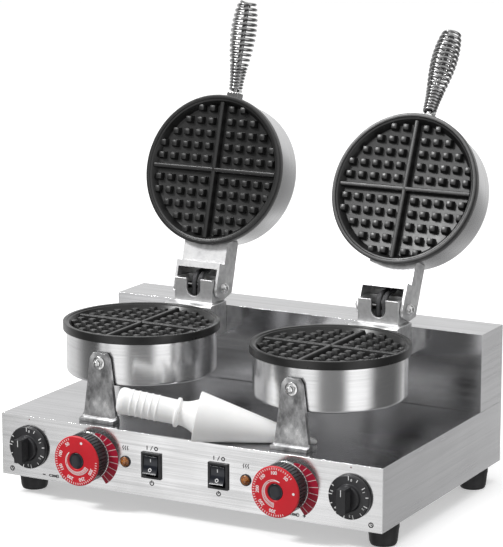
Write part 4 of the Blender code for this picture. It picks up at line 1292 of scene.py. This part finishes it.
def make_cone_roller():
    """The white cone for shaping hot wafers, lying on the deck."""
    half_angle = math.atan2(CONE_RADIUS - CONE_TIP_RADIUS, CONE_LENGTH - CONE_TIP_RADIUS)
    flat = math.cos(half_angle)
    direction = Vector((math.cos(CONE_HEADING) * flat, math.sin(CONE_HEADING) * flat, math.sin(half_angle)))
    lift = GAP + CONE_TIP_RADIUS * (math.cos(half_angle) - math.sin(half_angle))
    facing = Vector((0, 0, 1)).rotation_difference(direction).to_matrix().to_4x4()
    place = shift(CONE_TIP[0], FRONT_Y + CONE_TIP[1], DECK_Z + lift) @ facing
    cone = rounded([
        (0, 0), (0.0021, 0.0007), (CONE_TIP_RADIUS, CONE_TIP_RADIUS), (CONE_RADIUS, CONE_LENGTH - 0.0006),
        (CONE_RADIUS - 0.0008, CONE_LENGTH), (0, CONE_LENGTH),
    ], 0.0008)
    turned("roller_cone", cone, ROUND, "white", "cone_roller", place, ("cone_form",))
    handle = [
        (0, 0), (0.0200, 0), (0.0180, 0.0040), (0.0160, 0.0085), (0.0145, 0.0130), (0.0138, 0.0185),
        (0.0150, 0.0192), (0.0170, 0.0200), (0.0172, 0.0218), (0.0170, 0.0236), (0.0150, 0.0244),
        (0.0142, 0.0252), (0.0146, 0.0420),
    ]
    for ring in range(5):
        z = 0.0440 + 0.0075 * ring
        handle += [(0.0147, z), (0.0154, z + 0.0010), (0.0154, z + 0.0022), (0.0147, z + 0.0032)]
    handle += [(0.0156, 0.0840), (0.0150, 0.0880), (0.0128, 0.0906), (0.0085, 0.0918), (0, 0.0920)]
    grip = place @ shift(0, 0, CONE_LENGTH + GAP)
    turned("roller_handle", rounded(handle, 0.0010), 96, "white", "cone_roller", grip, ("cone_handle",))


# ---------------------------------------------------------------- finishing CAD nodes that stay


def dress_frame_nodes():
    """The inner pieces that keep the frame's own shape get their finish."""
    kept = {"terminal_block": "phenolic"}
    for side in SIDES:
        kept[f"{side}_lower_heater"] = "element"
        kept[f"{side}_upper_heater"] = "element"
        kept[f"{side}_timer_body"] = "phenolic"
        kept[f"{side}_thermostat_body"] = "phenolic"
    for name, material in kept.items():
        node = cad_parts[name]
        node.data.materials.clear()
        node.data.materials.append(MATERIALS[material])


# ---------------------------------------------------------------- studio


def make_studio():
    """A pale floor, a soft banded surround, two soft lights and the camera."""
    bm = bmesh.new()
    box_into(bm, (-6, -6, -0.02), (6, 6, 0.0))
    floor_mesh = mesh_from("floor", bm)
    pale = Nodes("pale_floor")
    grain = pale.noise(pale.place((3.0, 3.0, 3.0)), 1.0, 3.0, 0.5)
    pale.wire(
        Base_Color=pale.ramp(grain, ((0.3, (0.88, 0.88, 0.88)), (0.7, (0.90, 0.90, 0.90)))),
        Roughness=pale.span(grain, 0.85, 0.80),
    )
    pale.set(Emission_Color=(1.0, 1.0, 1.0, 1.0), Emission_Strength=0.38)
    floor_mesh.materials.append(pale.material)
    floor = bpy.data.objects.new("studio_floor", floor_mesh)
    bpy.context.collection.objects.link(floor)
    floor.visible_glossy = False
    floor.visible_diffuse = False

    world = bpy.data.worlds.new("studio")
    bpy.context.scene.world = world
    sky = WorldNodes(world)
    split = sky.add("ShaderNodeSeparateXYZ")
    sky.link(sky.add("ShaderNodeTexCoord").outputs["Generated"], split.inputs["Vector"])
    up = split.outputs["Z"]
    bearing = sky.math("ARCTAN2", split.outputs["Y"], split.outputs["X"])
    share = sky.span(bearing, 0.0, 1.0, -math.pi, math.pi)
    # brightness of the surround by bearing in degrees: light cards with dark gaps between them
    stops = (
        (-180, 0.80), (-158, 0.22), (-129, 0.06), (-125, 0.50), (-120, 1.30), (-114, 0.62), (-105, 1.20),
        (-88, 1.20), (-76, 0.30), (-46, 0.24), (-34, 1.40), (-10, 1.30), (6, 0.16), (44, 0.14),
        (59, 0.30), (66, 0.50), (71, 0.85), (100, 0.85), (150, 0.95), (180, 0.80),
    )
    bands = sky.ramp(share, [((degrees + 180) / 360, (level,) * 3) for degrees, level in stops])
    colour = sky.mix(sky.span(up, 0.0, 1.0, 0.25, 0.75), bands, 0.95)
    # a dark strip just above the horizon in front, which the deck and the housing mirror
    by_height = ((0.49, 0.0), (0.53, 1.0), (0.66, 1.0), (0.74, 0.0))
    by_bearing = ((0.06, 0.0), (0.10, 1.0), (0.1694, 1.0), (0.184, 0.25), (0.23, 0.0))
    masks = [
        sky.ramp(source, [(spot, (level,) * 3) for spot, level in edges])
        for source, edges in ((sky.span(up, 0.0, 1.0, -1.0, 1.0), by_height), (share, by_bearing))
    ]
    colour = sky.mix(sky.math("MULTIPLY", *masks), colour, 0.05)
    colour = sky.mix(sky.span(up, 0.0, 1.0, -0.62, -0.85), colour, 0.10)
    # the camera sees plain white, and diffuse surfaces get an even fill
    seen = sky.add("ShaderNodeLightPath")
    colour = sky.mix(seen.outputs["Is Camera Ray"], colour, 1.0)
    colour = sky.mix(seen.outputs["Is Diffuse Ray"], colour, 0.46)
    background = sky.tree.nodes["Background"]
    sky.link(colour, background.inputs["Color"])
    background.inputs["Strength"].default_value = 1.0

    for name, place, target, size, power in (
        ("key", (-3.0, -3.4, 4.6), (0, 0, 0.2), 1.3, 250.0),
        ("top", (0.6, 0.2, 5.0), (0, 0, 0.1), 4.0, 105.0),
    ):
        light = bpy.data.lights.new(name, "AREA")
        light.size = size
        light.energy = power
        lamp = bpy.data.objects.new(name, light)
        bpy.context.collection.objects.link(lamp)
        lamp.location = place
        lamp.rotation_euler = (Vector(target) - Vector(place)).to_track_quat("-Z", "Y").to_euler()
        lamp.visible_glossy = name != "top"

    camera_data = bpy.data.cameras.new("camera")
    camera_data.lens = CAMERA_LENS
    camera_data.sensor_width = 36
    camera_data.sensor_fit = "HORIZONTAL"
    camera = bpy.data.objects.new("camera", camera_data)
    bpy.context.collection.objects.link(camera)
    camera.location = (1.3944, -2.4220 + FRONT_Y, 0.7841 + DECK_Z)
    camera.rotation_euler = (math.pi / 2 - CAMERA_PITCH, 0, CAMERA_YAW)
    bpy.context.scene.camera = camera
    bpy.context.scene.view_settings.view_transform = "Standard"


make_cabinet()
make_rear_housing()
for side in SIDES:
    make_lower_head(side)
    make_hinge_base(side)
    make_hinge_arm(side)
    make_lid(side)
    make_conduits(side)
    make_timer(side)
    make_thermostat(side)
    make_switch(side)
    make_lamp(side)
make_panel_print()
make_cone_roller()
dress_frame_nodes()
make_studio()

bpy.context.view_layer.update()
